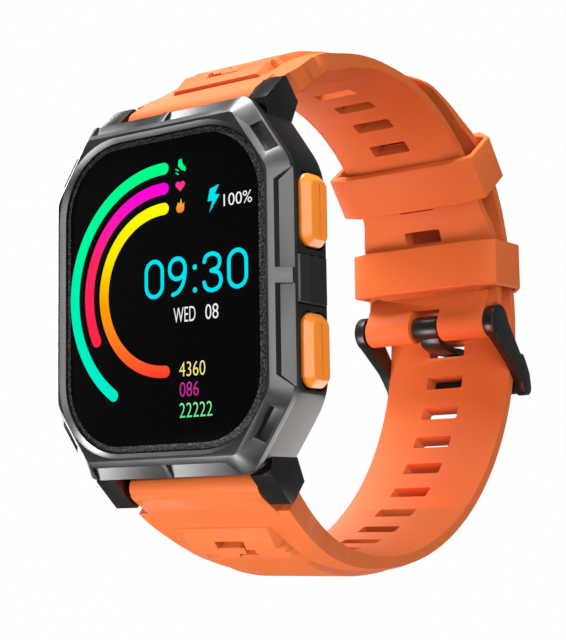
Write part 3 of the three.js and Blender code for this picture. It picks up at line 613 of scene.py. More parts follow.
def lit(name, stops, height):
    """A lit display colour that changes with height: stops are (share, colour), bottom first."""
    material, nodes, links, shader = blank(name)
    shader.inputs["Base Color"].default_value = (0.0, 0.0, 0.0, 1)
    shader.inputs["Roughness"].default_value = 0.5
    shader.inputs["Specular IOR Level"].default_value = 0.0
    shader.inputs["Emission Strength"].default_value = 1.0
    where = nodes.new("ShaderNodeTexCoord")
    split = nodes.new("ShaderNodeSeparateXYZ")
    links.new(where.outputs["Object"], split.inputs["Vector"])
    level = nodes.new("ShaderNodeMapRange")
    level.inputs["From Min"].default_value = height[0] * MM
    level.inputs["From Max"].default_value = height[1] * MM
    links.new(split.outputs["Z"], level.inputs["Value"])
    links.new(ramp(nodes, links, level.outputs["Result"], stops), shader.inputs["Emission Color"])
    return material


def print_with_painted_reflection():
    """The black print under the sloping edge of the glass, with a lighter speckle that is painted
    reflection.
    """
    material, nodes, links, shader = blank("glass_edge_print_painted_reflection")
    shader.inputs["Roughness"].default_value = 0.5
    shader.inputs["Specular IOR Level"].default_value = 0.12
    where = nodes.new("ShaderNodeTexCoord")
    cells = noise(nodes, links, where, 4200, 4)
    # the black is the print; the lighter grey speckle is painted reflection on the glass's sloping edge
    print_and_reflection_speckle = [(0.46, (0.004, 0.004, 0.004)), (0.64, (0.06, 0.06, 0.06))]
    links.new(ramp(nodes, links, cells, print_and_reflection_speckle), shader.inputs["Base Color"])
    relief(nodes, links, cells, 0.3, 0.00005, shader)
    return material


GUNMETAL = grained("gunmetal", (0.1, 0.1, 0.102), 0.38, metallic=1.0, grain=9000, bump=0.03)
CASE_METAL = grained("case_metal", (0.085, 0.079, 0.077), 0.22, metallic=1.0, grain=7000, bump=0.02)
BUCKLE_METAL = grained("buckle_black", (0.006, 0.0065, 0.007), 0.3, grain=7000, bump=0.01)
STEEL = grained("steel", (0.5, 0.5, 0.52), 0.28, metallic=1.0, grain=8000)
GOLD = grained("gold_contact", (0.75, 0.5, 0.2), 0.25, metallic=1.0, grain=8000)
RUBBER = grained("strap_rubber", (0.6, 0.125, 0.028), 0.6, grain=5200, colour_play=0.04,
                 rough_play=0.05, bump=0.05, specular=0.2)
BUTTON = grained("button_plastic", (0.93, 0.26, 0.02), 0.28, grain=5000, colour_play=0.03,
                 bump=0.01, coat=0.4)
GUARD = grained("guard_plastic", (0.012, 0.012, 0.013), 0.3, grain=6000, bump=0.06)
BLACK_PLASTIC = grained("black_plastic", (0.018, 0.018, 0.02), 0.45, grain=6000, bump=0.06)
GLASS_BLACK = grained("cover_glass", (0.0012, 0.0012, 0.0014), 0.12, grain=900, colour_play=0.3,
                      rough_play=0.01, bump=0.0, specular=0.04)
SENSOR_GLASS = grained("sensor_glass", (0.01, 0.01, 0.012), 0.08, grain=900, bump=0.0, coat=0.5)
BOARD = grained("board_green", (0.02, 0.12, 0.05), 0.5, grain=3000)
FOIL = grained("cell_foil", (0.5, 0.52, 0.55), 0.35, metallic=0.6, grain=2500, bump=0.1)
FLEX = grained("flex_amber", (0.5, 0.22, 0.05), 0.45, grain=4000)
SEAL = grained("seal_rubber", (0.02, 0.02, 0.02), 0.8, grain=6000)
CERAMIC = grained("antenna_ceramic", (0.6, 0.55, 0.42), 0.6, grain=5000)
# glass edge: black print, with a speckle of painted reflection
EDGE_PRINT_AND_REFLECTION = print_with_painted_reflection()


# ---------- bezel ----------

def step_tool(corners, axis):
    """A tool whose floor falls outwards along an axis, 0 for X or 1 for Z."""
    tool = plate_y("step", corners, BEZEL_FRONT - 0.5, LEDGE_LEVEL)
    fall = (STEP_OUTER[axis] - STEP_INNER[axis]) * LEDGE_FALL
    edit(tool)
    mesh = bmesh.from_edit_mesh(tool.data)
    for vertex in mesh.verts:
        out = abs((vertex.co.x, vertex.co.z)[axis]) > STEP_INNER[axis] + 1
        vertex.select = out and vertex.co.y > LEDGE_LEVEL - 0.01
    mesh.select_flush(True)
    bmesh.update_edit_mesh(tool.data)
    bpy.ops.transform.translate(value=(0, fall, 0))
    leave_edit()
    return tool


def bezel_steps():
    """Tools that lower parts of the bezel's slope, with a bar left between each two."""
    x0, z0 = STEP_INNER
    x1, z1 = STEP_OUTER
    side_upper = [(x0, 1.15), (x1, 1.15), (x1, 15.6), (x0, 12.4)]
    side_lower = [(x0, -0.85), (x0, -12.3), (x1, -15.2), (x1, -0.85)]
    end_left = [(-12.6, z0), (-12.6, z1), (-0.55, z1), (-0.55, z0)]
    end_right = [(0.55, z0), (0.55, z1), (13.8, z1), (10.4, z0)]
    tools = []
    for sign in (1, -1):
        tools += [step_tool([(sign * x, z) for x, z in outline], 0)
                  for outline in (side_upper, side_lower)]
        tools += [step_tool([(x, sign * z) for x, z in outline], 1)
                  for outline in (end_left, end_right)]
    return tools


def corner_pockets():
    """One rectangular pocket cut into each corner flat of the slope."""
    nx = math.cos(CORNER_SLOPE)
    nz = math.sin(CORNER_SLOPE)
    reach = nx * CASE_HALF_WIDTH + nz * CASE_HALF_HEIGHT - CORNER_CUT
    tools = []
    for sx in (1, -1):
        for sz in (1, -1):
            corners = []
            for along, inward in ((-2.3, 1.6), (-2.3, -1), (2.3, -1), (2.3, 1.6)):
                out = reach - inward
                x = nx * out - nz * (POCKET_PLACE + along)
                z = nz * out + nx * (POCKET_PLACE + along)
                corners.append((sx * x, sz * z))
            tools.append(plate_y("pocket", corners, BEZEL_FRONT - 0.5, POCKET_FLOOR))
    return tools


def make_bezel():
    bezel = drawn("front_bezel_body", [(x, BEZEL_BACK, z) for x, z in case_outline(0)])
    edit(bezel)
    extend((0, BEZEL_SHOULDER - BEZEL_BACK, 0))
    bpy.ops.mesh.inset(thickness=RIM_INSET, depth=0)
    bpy.ops.transform.translate(value=(0, BEZEL_FRONT - BEZEL_SHOULDER, 0))
    leave_edit()
    outwards(bezel)
    cut(bezel, group_of(bezel_steps() + corner_pockets()))
    opening = plate_y("opening", rounded(OPENING_HALF, OPENING_CORNER), BEZEL_FRONT - 1, BEZEL_BACK + 1)
    rings = []
    for out in (0, 2 * RIM_CHAMFER):
        half = (OPENING_HALF[0] + out, OPENING_HALF[1] + out)
        rings.append([(x, BEZEL_FRONT + RIM_CHAMFER - out, z)
                      for x, z in rounded(half, OPENING_CORNER + out)])
    cut(bezel, opening, swept("chamfer", rings))
    soften(bezel, 0.1, segments=2)
    finish_piece(bezel, "watch", "bezel_metal", ["front_bezel"], GUNMETAL)


def make_glass():
    glass = drawn("cover_glass_pane",
                  [(x, GLASS_BACK, z) for x, z in rounded(GLASS_HALF, GLASS_CORNER)])
    edit(glass)
    extend((0, GLASS_FRONT + GLASS_DROP - GLASS_BACK, 0))
    for share in GLASS_EDGE_SHARES:
        bpy.ops.mesh.inset(thickness=GLASS_EDGE * share, depth=0)
        bpy.ops.transform.translate(value=(0, -GLASS_DROP * (share ** 0.5) * GLASS_EDGE_FALL, 0))
    leave_edit()
    outwards(glass)
    finish_piece(glass, "watch", "cover_glass", ["cover_glass"], GLASS_BLACK, EDGE_PRINT_AND_REFLECTION, smooth=40)
    front = min(v.co.y for v in glass.data.vertices)
    # the glass's sloping edge faces get the black print with its painted reflection speckle
    for face in glass.data.polygons:
        sloping = 0.02 < abs(face.normal.y) < 0.999
        face.material_index = 1 if sloping and face.center.y < (GLASS_BACK - 0.3) * MM else 0
    return front / MM


# ---------- display picture ----------

PICTURE_MIDDLE = (0.7, 0.1)
PICTURE_DEPTH = 0.02
RING_WIDTH = 1.6
CLOCK_HALF_WIDTH = 1.4
CLOCK_LINE = 0.56
CLOCK_TOP = 4.0
CLOCK_FOOT = -0.7


def stroke(path, width):
    """The outline of a round-ended stroke along a path."""
    half = width / 2
    left, right = both_sides(path, half)
    def cap(centre, start):
        first = math.degrees(math.atan2((start - centre).y, (start - centre).x))
        return [Vector(p) for p in arc(centre, half, first, first - 180, 8)[1:-1]]
    end = cap(Vector(path[-1]), left[-1])
    begin = cap(Vector(path[0]), right[0])
    return [(p.x, p.y) for p in left + end + right[::-1] + begin]


def picture_piece(name, outline, level, material):
    piece = plate_y(name, outline, level, level - PICTURE_DEPTH)
    finish_piece(piece, "watch", "display", [], material)


def picture_text(name, words, left, base, height, width, level, material, bold=0.0):
    """Generic figures of a given height, squeezed to a given width."""
    bpy.ops.object.select_all(action="DESELECT")
    bpy.ops.object.text_add()
    text = bpy.context.object
    text.name = name
    text.data.body = words
    text.data.resolution_u = 4
    text.data.offset = bold
    text.data.extrude = 0.01
    bpy.ops.object.convert(target="MESH")
    piece = bpy.context.object
    low = [min(v.co[k] for v in piece.data.vertices) for k in range(2)]
    high = [max(v.co[k] for v in piece.data.vertices) for k in range(2)]
    squeeze = (width / (high[0] - low[0]), height / (high[1] - low[1]))
    for v in piece.data.vertices:
        x = left + (v.co.x - low[0]) * squeeze[0]
        z = base + (v.co.y - low[1]) * squeeze[1]
        v.co = (x, level - v.co.z, z)
    outwards(piece)
    finish_piece(piece, "watch", "display", [], material)


GREEN = lit("lit_green", [(0.0, (0.0, 0.85, 0.62)), (0.5, (0.0, 0.9, 0.42)), (1.0, (0.0, 1.0, 0.25))],
            (-14, 17))
MAGENTA = lit("lit_magenta", [(0.0, (1.0, 0.02, 0.06)), (0.55, (1.0, 0.02, 0.12)),
                              (1.0, (1.0, 0.0, 0.75))], (-6, 14.5))
YELLOW = lit("lit_yellow", [(0.0, (1.0, 0.04, 0.03)), (0.45, (1.0, 0.35, 0.0)),
                            (0.75, (1.0, 0.85, 0.0)), (1.0, (1.0, 1.0, 0.0))], (-11.5, 11.7))
CYAN = lit("lit_cyan", [(0.0, (0.0, 0.75, 0.85)), (1.0, (0.0, 0.78, 0.88))], (0, 1))
WHITE = lit("lit_white", [(0.0, (0.9, 0.9, 0.9)), (1.0, (0.95, 0.95, 0.95))], (0, 1))
PALE_YELLOW = lit("lit_pale_yellow", [(0.0, (0.95, 0.8, 0.2)), (1.0, (0.95, 0.85, 0.3))], (-12, -9))
PINK = lit("lit_pink", [(0.0, (0.55, 0.03, 0.3)), (1.0, (0.65, 0.04, 0.35))], (-14, -12))
LEAF = lit("lit_leaf", [(0.0, (0.15, 0.85, 0.25)), (1.0, (0.25, 0.9, 0.35))], (-17, -15))
HEART = lit("lit_heart", [(0.0, (0.95, 0.05, 0.15)), (1.0, (1.0, 0.03, 0.35))], (12.5, 14.5))
FLAME = lit("lit_flame", [(0.0, (0.95, 0.12, 0.03)), (1.0, (1.0, 0.6, 0.05))], (9.7, 12.2))


def make_picture(level):
    rings = (("green_arc", 16.2, 235.8, GREEN), ("magenta_arc", 13.5, 205.8, MAGENTA),
             ("yellow_arc", 10.8, 270, YELLOW))
    for name, radius, end, material in rings:
        path = arc(PICTURE_MIDDLE, radius, 90, end, 48)
        picture_piece(name, stroke(path, RING_WIDTH), level, material)
    make_clock(level)
    make_marks(level)


def clock_zero(left, level):
    middle = (left + CLOCK_HALF_WIDTH, (CLOCK_TOP + CLOCK_FOOT) / 2)
    half_height = (CLOCK_TOP - CLOCK_FOOT) / 2
    loops = [rounded((CLOCK_HALF_WIDTH + grow, half_height + grow), CLOCK_HALF_WIDTH + grow, middle, 8)
             for grow in (CLOCK_LINE / 2, -CLOCK_LINE / 2)]
    ring = plate_y("clock_zero", loops[0], level, level - PICTURE_DEPTH)
    hole = plate_y("hole", loops[1], level + 1, level - 1)
    finish_piece(cut(ring, hole), "watch", "display", [], CYAN)


def make_clock(level):
    """The time, from thin round-ended strokes."""
    clock_zero(-2.5, level)
    clock_zero(11.5, level)
    nine_bowl = rounded((1.32, 1.35), 1.3, (2.88, 2.65), 6)
    nine_tail = spline([(4.2, 2.9), (4.15, 1.6), (3.75, 0.4), (2.95, -0.45), (2.1, -0.72)], 6)
    three_top = spline([(7.45, 3.05), (7.75, 3.72), (8.75, 4.0), (9.75, 3.6), (10.0, 2.85),
                        (9.65, 2.1), (8.6, 1.8)], 5)
    three_foot = spline([(8.6, 1.8), (9.75, 1.45), (10.2, 0.5), (9.8, -0.4), (8.75, -0.75),
                         (7.75, -0.4), (7.4, 0.35)], 5)
    strokes = [("clock_nine_bowl", nine_bowl + nine_bowl[:2]), ("clock_nine_tail", nine_tail),
               ("clock_three_top", three_top), ("clock_three_foot", three_foot)]
    for i, (name, path) in enumerate(strokes):
        path = [tuple(point) for point in path]
        picture_piece(name, stroke(path, CLOCK_LINE), level - 0.003 * (i % 2), CYAN)
    for name, z in (("clock_colon_upper", 2.55), ("clock_colon_lower", -0.45)):
        picture_piece(name, arc((5.85, z), 0.36, 0, 345, 23), level, CYAN)


def make_marks(level):
    """The date, the charge, the counters and their small marks."""
    picture_text("date_day", "WED", 2.2, -4.45, 1.95, 3.7, level, WHITE, -0.006)
    picture_text("date_number", "08", 7.55, -4.45, 1.95, 2.15, level, WHITE, -0.006)
    picture_text("charge_share", "100%", 10.75, 9.9, 1.6, 4.6, level, WHITE, -0.006)
    picture_text("steps_count", "4360", 3.1, -11.55, 1.9, 4.35, level, PALE_YELLOW, -0.008)
    picture_text("heart_count", "086", 3.15, -14.15, 1.9, 3.2, level, PINK, -0.008)
    picture_text("energy_count", "22222", 3.1, -16.85, 1.9, 5.45, level, LEAF, -0.008)
    bolt = [(9.9, 12.9), (8.5, 12.5), (8.1, 10.9), (8.9, 10.9), (8.4, 9.4), (10.1, 11.6),
            (9.3, 11.7), (10.0, 12.9)]
    picture_piece("charge_bolt", bolt, level, CYAN)
    heart = [(3.5, 12.85)]
    heart += arc((3.9, 13.8), 0.41, -30, 160, 8)
    heart += arc((3.1, 13.8), 0.41, 20, 210, 8)
    picture_piece("heart_mark", heart, level, HEART)
    flame = [(3.5, 10.0)] + arc((3.55, 10.6), 0.6, -60, 15, 5)
    flame += [(4.15, 11.35), (3.85, 11.05), (3.6, 11.9), (3.4, 11.2), (3.1, 11.45)]
    flame += arc((3.42, 10.6), 0.62, 165, 240, 5)
    picture_piece("flame_mark", flame, level, FLAME)
    shoe = [(3.25, 17.1), (3.75, 17.2), (3.95, 16.5), (4.5, 15.9), (4.35, 15.45), (3.7, 15.75),
            (3.15, 16.3)]
    picture_piece("shoe_mark", shoe, level, GREEN)
    for z in (16.0, 15.5):
        dash = [(2.75, z), (3.25, z - 0.25), (3.2, z - 0.4), (2.7, z - 0.15)]
        picture_piece("shoe_dash", dash, level, GREEN)


# ---------- mid case ----------

def lug_outline(end):
    """One lug's side outline in Y and Z."""
    beyond = [(-8.3, -2.3), (-3.0, -2.3), (-1.5, 0.8), (-4.0, 3.7), (-4.6, 3.7), (-8.6, 0.1)]
    return [(y, end * (CASE_HALF_HEIGHT + z)) for y, z in beyond]


def button_outline(z, grow=0.0):
    half = (BUTTON_WIDTH / 2 + grow, BUTTON_LENGTH / 2 + grow)
    return rounded(half, BUTTON_CORNER, (BUTTON_Y, z), 10)


def make_case():
    case = drawn("mid_case_body",
                 [(x, CASE_FRONT, z)
                  for x, z in case_outline(CASE_HALF_WIDTH - CASE_SIDE, CASE_CORNER_BLEND)])
    edit(case)
    extend((0, CASE_BACK - REAR_BEVEL - CASE_FRONT, 0))
    bpy.ops.mesh.inset(thickness=REAR_BEVEL_INSET, depth=0)
    bpy.ops.transform.translate(value=(0, REAR_BEVEL, 0))
    leave_edit()
    outwards(case)
    lugs = [bar_x("lug", lug_outline(end), min(side, side * LUG_OUTER / LUG_INNER),
                  max(side, side * LUG_OUTER / LUG_INNER))
            for end in (1, -1) for side in (LUG_INNER, -LUG_INNER)]
    add(case, group_of(lugs))
    tools = [plate_y("front_hollow", case_outline(WALL), CASE_FRONT - 1, BACK_SEAT_FLOOR + 0.5),
             plate_y("back_seat", case_outline(BACK_SEAT_INSET), BACK_SEAT_FLOOR, CASE_BACK + 1)]
    pockets = [bar_x("button_pocket", button_outline(end * BUTTON_Z, RUNNING),
                     BUTTON_POCKET_FLOOR, BEYOND_CASE) for end in (1, -1)]
    pockets.append(block("guard_pocket", *GUARD_POCKET))
    pockets += [rod_x("knuckle_room", (LUG_PIN[0], end * LUG_PIN[1]), LUG_KNUCKLE + RUNNING,
                      -LUG_INNER, LUG_INNER) for end in (1, -1)]
    slots = [block("speaker_slot", SIDE_HOLE_REACH, SPEAKER_SLOT_Y,
                   (z - SPEAKER_SLOT_HALF, z + SPEAKER_SLOT_HALF)) for z in SPEAKER_SLOT_PLACES]
    slots.append(rod_x("microphone_hole", MICROPHONE_PLACE, MICROPHONE_RADIUS,
                       *SIDE_HOLE_REACH, 24))
    cut(case, tools[0], tools[1], group_of(pockets), group_of(slots))
    soften(case, 0.22, segments=3)
    finish_piece(case, "watch", "case_metal", ["mid_case"], CASE_METAL)


# ---------- buttons and guard ----------

def make_buttons():
    for which, end in (("upper", 1), ("lower", -1)):
        button = drawn(f"button_cap_{which}",
                       [(BUTTON_BACK, y, z) for y, z in button_outline(end * BUTTON_Z)])
        edit(button)
        extend((BUTTON_FACE - BUTTON_SLOPE - BUTTON_BACK, 0, 0))
        bpy.ops.mesh.inset(thickness=BUTTON_SLOPE, depth=0)
        bpy.ops.transform.translate(value=(BUTTON_SLOPE - BUTTON_CROWN_RISE, BUTTON_LEAN, 0))
        bpy.ops.mesh.inset(thickness=BUTTON_CROWN_EDGE, depth=0)
        bpy.ops.transform.translate(value=(BUTTON_CROWN_RISE, 0, 0))
        leave_edit()
        outwards(button)
        soften(button, 0.15, segments=3, angle=20)
        z = end * BUTTON_Z
        crease = rounded(CREASE_HALF, CREASE_CORNER, (BUTTON_Y + CREASE_OFFSET, z), 3)
        cut(button, bar_x("crease", crease, BUTTON_FACE - CREASE_DEPTH, BUTTON_FACE + 1))
        finish_piece(button, f"{which}_button", "button_plastic", [f"button_{which}"], BUTTON)


def make_guard():
    profile = [(-9.6, 19.1), (-9.6, 20.3), (-9.3, 20.6), (-7.3, 20.6), (-7.15, 20.25),
               (-5.75, 20.8), (-5.6, 20.8), (-5.5, 20.2), (-5.3, 20.2), (-4.0, 20.72),
               (-3.75, 20.7), (-3.5, 20.3), (-3.5, 19.1)]
    guard = drawn("button_guard_body", [(x, y, -GUARD_HALF_LENGTH) for y, x in profile])
    pull(guard, (0, 0, 2 * GUARD_HALF_LENGTH))
    outwards(guard)
    soften(guard, 0.1)
    finish_piece(guard, "watch", "guard_plastic", ["button_guard"], GUARD)


# ---------- strap ----------

def strap_ring(centre, angle, inner, thickness, half_width, raised, flange):
    """One cross section of a strap half, at an angle about its centre."""
    edge = inner + BAND_STEP
    face = inner + thickness
    block_half = min(BLOCK_HALF_WIDTH, half_width - BLOCK_MARGIN)
    lip, droop = BAND_LIP
    half = [(half_width - BAND_WIDTH, inner), (half_width - lip, edge - droop),
            (half_width, edge), (half_width, face - flange), (half_width - EDGE_BLEND, face),
            (block_half + BLOCK_SLOPE, face), (block_half, face + raised)]
    other = [(-x, radius) for x, radius in reversed(half)]
    section = other[4:] + half + other[:4]
    return [(x, *polar(centre, angle, radius)) for x, radius in section]


def stations(start, end, step):
    count = max(1, round(abs(end - start) / step))
    return [start + (end - start) * i / count for i in range(count + 1)]


def strap_half(name, centre, angles, radius, inner, thickness, half_width, raised, flange):
    rings = [strap_ring(centre, a, radius + inner(a), STRAP_THICKNESS + thickness(a),
                        half_width(a), raised(a), flange(a)) for a in angles]
    return swept(name, rings)


def slot_tool(centre, angle, radius):
    """An adjustment slot with small round corners, through the strap at an angle."""
    outline = rounded((SLOT_SIZE[0] / 2, SLOT_SIZE[1] / 2), SLOT_CORNER, (0, 0), 3)
    tool = drawn("slot", [(x, -SLOT_REACH, z) for x, z in outline])
    pull(tool, (0, 2 * SLOT_REACH, 0))
    tool.rotation_euler = (math.radians(angle), 0, 0)
    tool.location = (0, *polar(centre, angle, radius))
    activate(tool)
    apply_place()
    return outwards(tool)


def knuckle_web(name, pin, radius, centre, angle, inner, outer, half_width):
    """The web that joins the strap's eye to the end of the strap."""
    inside = Vector(polar(centre, angle, inner))
    outside = Vector(polar(centre, angle, outer))
    eye = Vector(pin)
    along = ((inside + outside) / 2 - eye).normalized()
    side = Vector((-along.y, along.x)) * radius
    if side.dot(outside - inside) < 0:
        side = -side
    corners = [eye + side, outside, inside, eye - side]
    return bar_x(name, [(p.x, p.y) for p in corners], -half_width, half_width)


def lug_pattern(centre, rows):
    """Notches in the stepped rows of the raised block: angles, X range and floor radius."""
    tools = []
    for start, end, left, right, floor in rows:
        top = floor + NOTCH_REACH
        corners = [polar(centre, start, floor), polar(centre, start, top),
                   polar(centre, end, top), polar(centre, end, floor)]
        tools.append(bar_x("notch", corners, left, right))
    return tools


LONG_START = -130.6
LONG_INNER = smooth_run([(0, 0), (10, 0.1), (20, 0.5), (29, 1.25), (38, 1.75), (45, 1.6),
                         (52, 0.7), (58, 0.5), (66, 0.35), (77, 0.1)])
LONG_THICKNESS = smooth_run([(-130.6, 1.5), (-122, 1.3), (-112, 1.15), (-100, 0.6), (-88, 0.15),
                             (46, -0.1), (66, -1.0), (77, -1.3)])
LONG_HALF_WIDTH = smooth_run([(-130.6, SHOULDER_HALF_WIDTH), (-105, STRAP_HALF_WIDTH),
                              (66, STRAP_HALF_WIDTH), (77, STRAP_HALF_WIDTH * 0.62)])
LONG_RAISED = straight_run([(-126.1, 0.02), (-126.0, 0.3), (-121.3, 1.65), (-121.2, 1.1),
                            (-120.5, 1.1), (-120.4, 0.6), (-118.6, 1.2), (-118.5, 0.8),
                            (-117.9, 0.8), (-117.8, 0.35), (-116.2, 0.9), (-116.1, 0.4),
                            (-106, 0.7), (-96, 0.7), (-84, 0.5), (-66, 0.02)])
LONG_FLANGE = smooth_run([(-128, 0.05), (-118, 0.3), (-70, 0.4), (-20, 0.35), (60, 0.3)])
SHORT_START = -5.2
SHORT_END = 143
SHORT_INNER = smooth_run([(88, 0), (113, 0.5), (124, 1.6), (136, 2.7), (143, 3.8)])
SHORT_THICKNESS = smooth_run([(80, -0.2), (93, -0.1), (118, 0.9), (128, 1.2), (136, 1.4),
                              (143, 2.0)])
SHORT_HALF_WIDTH = smooth_run([(-5.2, BUCKLE_END_HALF_WIDTH), (17, BUCKLE_END_HALF_WIDTH),
                               (27, STRAP_HALF_WIDTH), (110, STRAP_HALF_WIDTH),
                               (143, SHOULDER_HALF_WIDTH)])
SHORT_RAISED = straight_run([(85, 0.02), (100, 0.35), (112, 0.7), (129.5, 1.0), (129.6, 1.3),
                             (131.6, 0.9), (131.7, 1.35), (133.7, 0.95), (133.8, 1.6),
                             (139.3, 0.6), (139.5, 0.02)])
SHORT_FLANGE = smooth_run([(0, 0.3), (80, 0.3), (141, 0.25)])
EYE_HALF_WIDTH = LUG_INNER - 2 * RUNNING


def make_long_strap():
    centre = LONG_CENTRE
    angles = [LONG_START, -128.5, -126.1, -126, -123.5, -121.3, -121.2, -120.5, -120.4, -118.6,
              -118.5, -117.9, -117.8, -116.2, -116.1] + stations(-114.5, 76, 2) + [77]
    strap = strap_half("strap_long_half", centre, angles, LONG_RADIUS, LONG_INNER,
                       LONG_THICKNESS, LONG_HALF_WIDTH, LONG_RAISED, LONG_FLANGE)
    pin = (LUG_PIN[0], -LUG_PIN[1])
    eye = rod_x("eye", pin, LUG_KNUCKLE, -EYE_HALF_WIDTH, EYE_HALF_WIDTH)
    web = knuckle_web("web", pin, LUG_KNUCKLE, centre, LONG_START + 1.5, LONG_RADIUS,
                      LONG_RADIUS + STRAP_THICKNESS + 1.45, EYE_HALF_WIDTH)
    add(strap, eye, web)
    face = LONG_RADIUS + STRAP_THICKNESS
    rows = ((-123.2, -120.9, -2.6, 2.4, face + 0.9), (-120.9, -118.4, 0.9, 2.6, face + 0.7),
            (-118.4, -116.0, -1.5, 2.0, face + 0.5))
    cut(strap, *lug_pattern(centre, rows))
    slots = []
    angle = LONG_SLOT_FIRST - LONG_SLOTS_BELOW * LONG_SLOT_PITCH
    while angle < LONG_SLOT_LIMIT:
        slots.append(slot_tool(centre, angle, LONG_RADIUS))
        angle += LONG_SLOT_PITCH
    cut(strap, group_of(slots), rod_x("bore", pin, PIN_HOLE, -LUG_OUTER, LUG_OUTER))
    soften(strap, 0.18)
    finish_piece(strap, "watch", "strap_rubber", ["strap_long"], RUBBER)


def make_short_strap():
    centre = SHORT_CENTRE
    angles = stations(SHORT_START, 128, 2) + [129.5, 129.6, 131.6, 131.7, 133.7, 133.8, 136.5,
                                              139.3, 139.5, 141, SHORT_END]
    strap = strap_half("strap_short_half", centre, angles, SHORT_RADIUS, SHORT_INNER,
                       SHORT_THICKNESS, SHORT_HALF_WIDTH, SHORT_RAISED, SHORT_FLANGE)
    pin = LUG_PIN
    eye = rod_x("eye", pin, LUG_KNUCKLE, -EYE_HALF_WIDTH, EYE_HALF_WIDTH)
    web = knuckle_web("web", pin, LUG_KNUCKLE, centre, SHORT_END - 1.5, SHORT_RADIUS + 3.9,
                      SHORT_RADIUS + STRAP_THICKNESS + 5.6, EYE_HALF_WIDTH)
    buckle_eye = rod_x("buckle_eye", BUCKLE_PIN, BUCKLE_KNUCKLE, -STRAP_HALF_WIDTH, STRAP_HALF_WIDTH)
    buckle_web = knuckle_web("buckle_web", BUCKLE_PIN, BUCKLE_KNUCKLE, centre, -0.6,
                             SHORT_RADIUS + 0.05, SHORT_RADIUS + STRAP_THICKNESS - 0.3,
                             STRAP_HALF_WIDTH)
    add(strap, eye, web, buckle_eye, buckle_web)
    face = SHORT_RADIUS + STRAP_THICKNESS
    rows = ((136, 133.5, -2.7, 2.7, face + 4.1), (133.6, 131.5, -3.4, -1.3, face + 3.5),
            (131.5, 129.3, -1.0, 4.2, face + 3.0))
    cut(strap, *lug_pattern(centre, rows))
    half, reach, rise = TONGUE_ROOM
    room = block("tongue_room", (-half, half), (BUCKLE_PIN[0] - reach, BUCKLE_PIN[0] + reach),
                 (BUCKLE_PIN[1] - reach, BUCKLE_PIN[1] + rise))
    slots = [slot_tool(centre, SHORT_SLOT_FIRST + i * SHORT_SLOT_PITCH, SHORT_RADIUS)
             for i in range(SHORT_SLOTS)]
    cut(strap, room, group_of(slots), rod_x("bore", pin, PIN_HOLE, -LUG_OUTER, LUG_OUTER),
        rod_x("buckle_bore", BUCKLE_PIN, PIN_HOLE, -LUG_OUTER, LUG_OUTER))
    soften(strap, 0.18)
    finish_piece(strap, "watch", "strap_rubber", ["strap_short"], RUBBER)


# ---------- buckle ----------

def arm_outline():
    """A round eye on the pin, an S shaped leg and a round end on the bar."""
    eye = [Vector(p) for p in arc(BUCKLE_PIN, ARM_RADIUS, 40, 250, 28)]
    inner = spline([tuple(eye[-1]), (57.5, -3.75), (59.9, -5.6), (62.2, -8.3)], 6)[1:]
    bar = [Vector(p) for p in arc(BAR_CENTRE, BAR_END_RADIUS, 190, 375, 14)]
    outer = spline([(64.6, -6.6), (63.2, -4.3), (62.5, -3.55)], 5)
    shoulder = spline([(61.7, -3.5), (59.7, -0.9), (58.3, 0.9), tuple(eye[0])], 6)[:-1]
    return [(p.x, p.y) for p in eye + inner + bar + outer + shoulder]


def make_buckle():
    right = bar_x("buckle_frame_black", arm_outline(), ARM_INNER, ARM_OUTER)
    left = bar_x("arm", arm_outline(), -ARM_OUTER, -ARM_INNER)
    bar = bar_x("bar", rounded(BAR_HALF, BAR_CORNER, BAR_MIDDLE, 6),
                -ARM_INNER - BAR_SINK, ARM_INNER + BAR_SINK)
    add(right, left, bar)
    soften(right, 0.3, segments=3)
    cut(right, rod_x("bore", BUCKLE_PIN, PIN_HOLE, -ARM_OUTER + ARM_SKIN, ARM_OUTER - ARM_SKIN))
    finish_piece(right, "buckle", "buckle_metal", ["buckle_frame"], BUCKLE_METAL)


def make_tongue():
    py, pz = BUCKLE_PIN
    half = TONGUE_THICKNESS / 2
    over = BAR_RADIUS + BAR_THICKNESS + half + RUNNING - 0.05
    line = spline([(py, pz - TONGUE_BARREL * 0.55), (py + 0.8, pz - 2.6),
                   polar(LONG_CENTRE, TONGUE_THROUGH, LONG_RADIUS - 1.1),
                   polar(LONG_CENTRE, TONGUE_THROUGH, LONG_RADIUS + STRAP_THICKNESS + 0.9),
                   polar(LONG_CENTRE, BAR_ANGLES[1], over + 0.2),
                   polar(LONG_CENTRE, BAR_ANGLES[0], over + 0.1)], 7)
    left, right = both_sides(line, half)
    outline = [(p.x, p.y) for p in right + left[::-1]]
    barrel_half = TONGUE_HALF_WIDTH + TONGUE_BARREL_EXTRA
    tongue = rod_x("buckle_tongue_black", BUCKLE_PIN, TONGUE_BARREL, -barrel_half, barrel_half)
    add(tongue, bar_x("blade", outline, -TONGUE_HALF_WIDTH, TONGUE_HALF_WIDTH))
    cut(tongue, rod_x("bore", BUCKLE_PIN, PIN_HOLE, -LUG_INNER, LUG_INNER))
    soften(tongue, 0.2)
    finish_piece(tongue, "tongue", "buckle_metal", ["buckle_tongue"], BUCKLE_METAL)


# ---------- keepers ----------

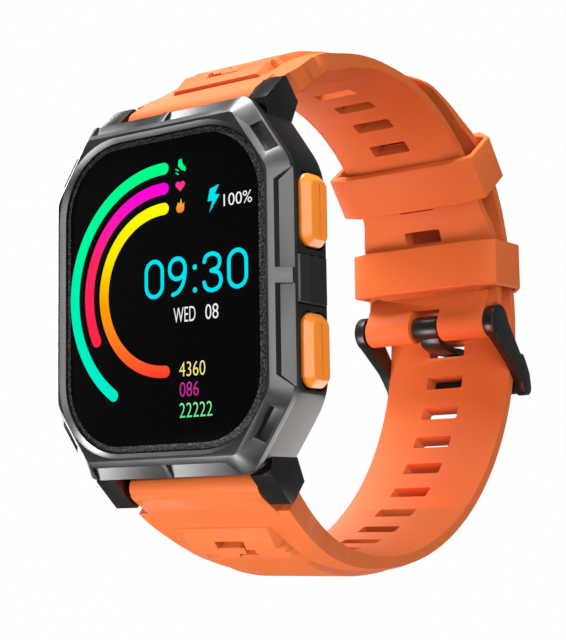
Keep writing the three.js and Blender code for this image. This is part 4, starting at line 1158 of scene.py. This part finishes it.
def keeper(name, inner, outer, corner):
    """A closed band around both strap layers, drawn in X and its own outward direction."""
    half = KEEPER_HALF_WIDTH
    inside = half - KEEPER_WALL
    low_side = inner - KEEPER_INNER_WALL
    high_side = outer + KEEPER_OUTER_WALL
    outline = [(-half + 4, low_side), (half - 4, low_side), (half, inner - 0.5), (half, corner),
               (half - 2.7, high_side), (-half + 2.7, high_side), (-half, corner),
               (-half, inner - 0.5)]
    hole = [(-inside + 3, inner), (-inside, inner + 0.7), (-inside, corner),
            (-inside + 1.9, outer), (inside - 1.9, outer), (inside, corner),
            (inside, inner + 0.7), (inside - 3, inner)]
    low = -KEEPER_LENGTH / 2
    band = pull(drawn(name, [(x, y, low) for x, y in outline]), (0, 0, KEEPER_LENGTH))
    room = pull(drawn("room", [(x, y, low - 1) for x, y in hole]), (0, 0, KEEPER_LENGTH + 2))
    return cut(outwards(band), outwards(room))


def make_keepers():
    fixed = keeper("keeper_fixed_band", *FIXED_KEEPER_LEVELS)
    fixed.location = (0, 0, FIXED_KEEPER_Z)
    free = keeper("keeper_free_band", *FREE_KEEPER_LEVELS)
    free.rotation_euler = (math.radians(FREE_KEEPER_ANGLE), 0, 0)
    free.location = (0, *SHORT_CENTRE)
    for band, body, node in ((fixed, "watch", "keeper_fixed"), (free, "free_keeper", "keeper_free")):
        activate(band)
        apply_place()
        soften(band, 0.3, segments=3)
        finish_piece(band, body, "strap_rubber", [node], RUBBER)


# ---------- carried-over nodes ----------

NODE_FINISHES = {
    "glass_gasket": SEAL, "display_panel": GLASS_BLACK, "case_back": BLACK_PLASTIC,
    "back_gasket": SEAL, "sensor_window": SENSOR_GLASS, "sensor_board": BOARD,
    "inner_chassis": BLACK_PLASTIC, "main_board": BOARD, "display_flex": FLEX, "battery": FOIL,
    "gps_antenna": CERAMIC, "vibration_motor": STEEL, "motor_weight": STEEL,
    "speaker": BLACK_PLASTIC, "microphone": STEEL, "button_board": BOARD, "buckle_pin": STEEL,
}


def paint_nodes():
    for name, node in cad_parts.items():
        if name in NODE_FINISHES:
            material = NODE_FINISHES[name]
        elif name.startswith("charging_contact"):
            material = GOLD
        elif name.startswith("button_switch"):
            material = BLACK_PLASTIC
        elif name.startswith("button_seal"):
            material = SEAL
        else:
            material = STEEL
        node.data.materials.clear()
        node.data.materials.append(material)


def squash_springs():
    for which, end in (("upper", 1), ("lower", -1)):
        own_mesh(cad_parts[f"button_spring_{which}"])


place_camera()
set_the_stage()
paint_nodes()
squash_springs()
make_bezel()
glass_front = make_glass()
make_picture(glass_front - 0.005)
make_case()
make_buttons()
make_guard()
make_long_strap()
make_short_strap()
make_buckle()
make_tongue()
make_keepers()
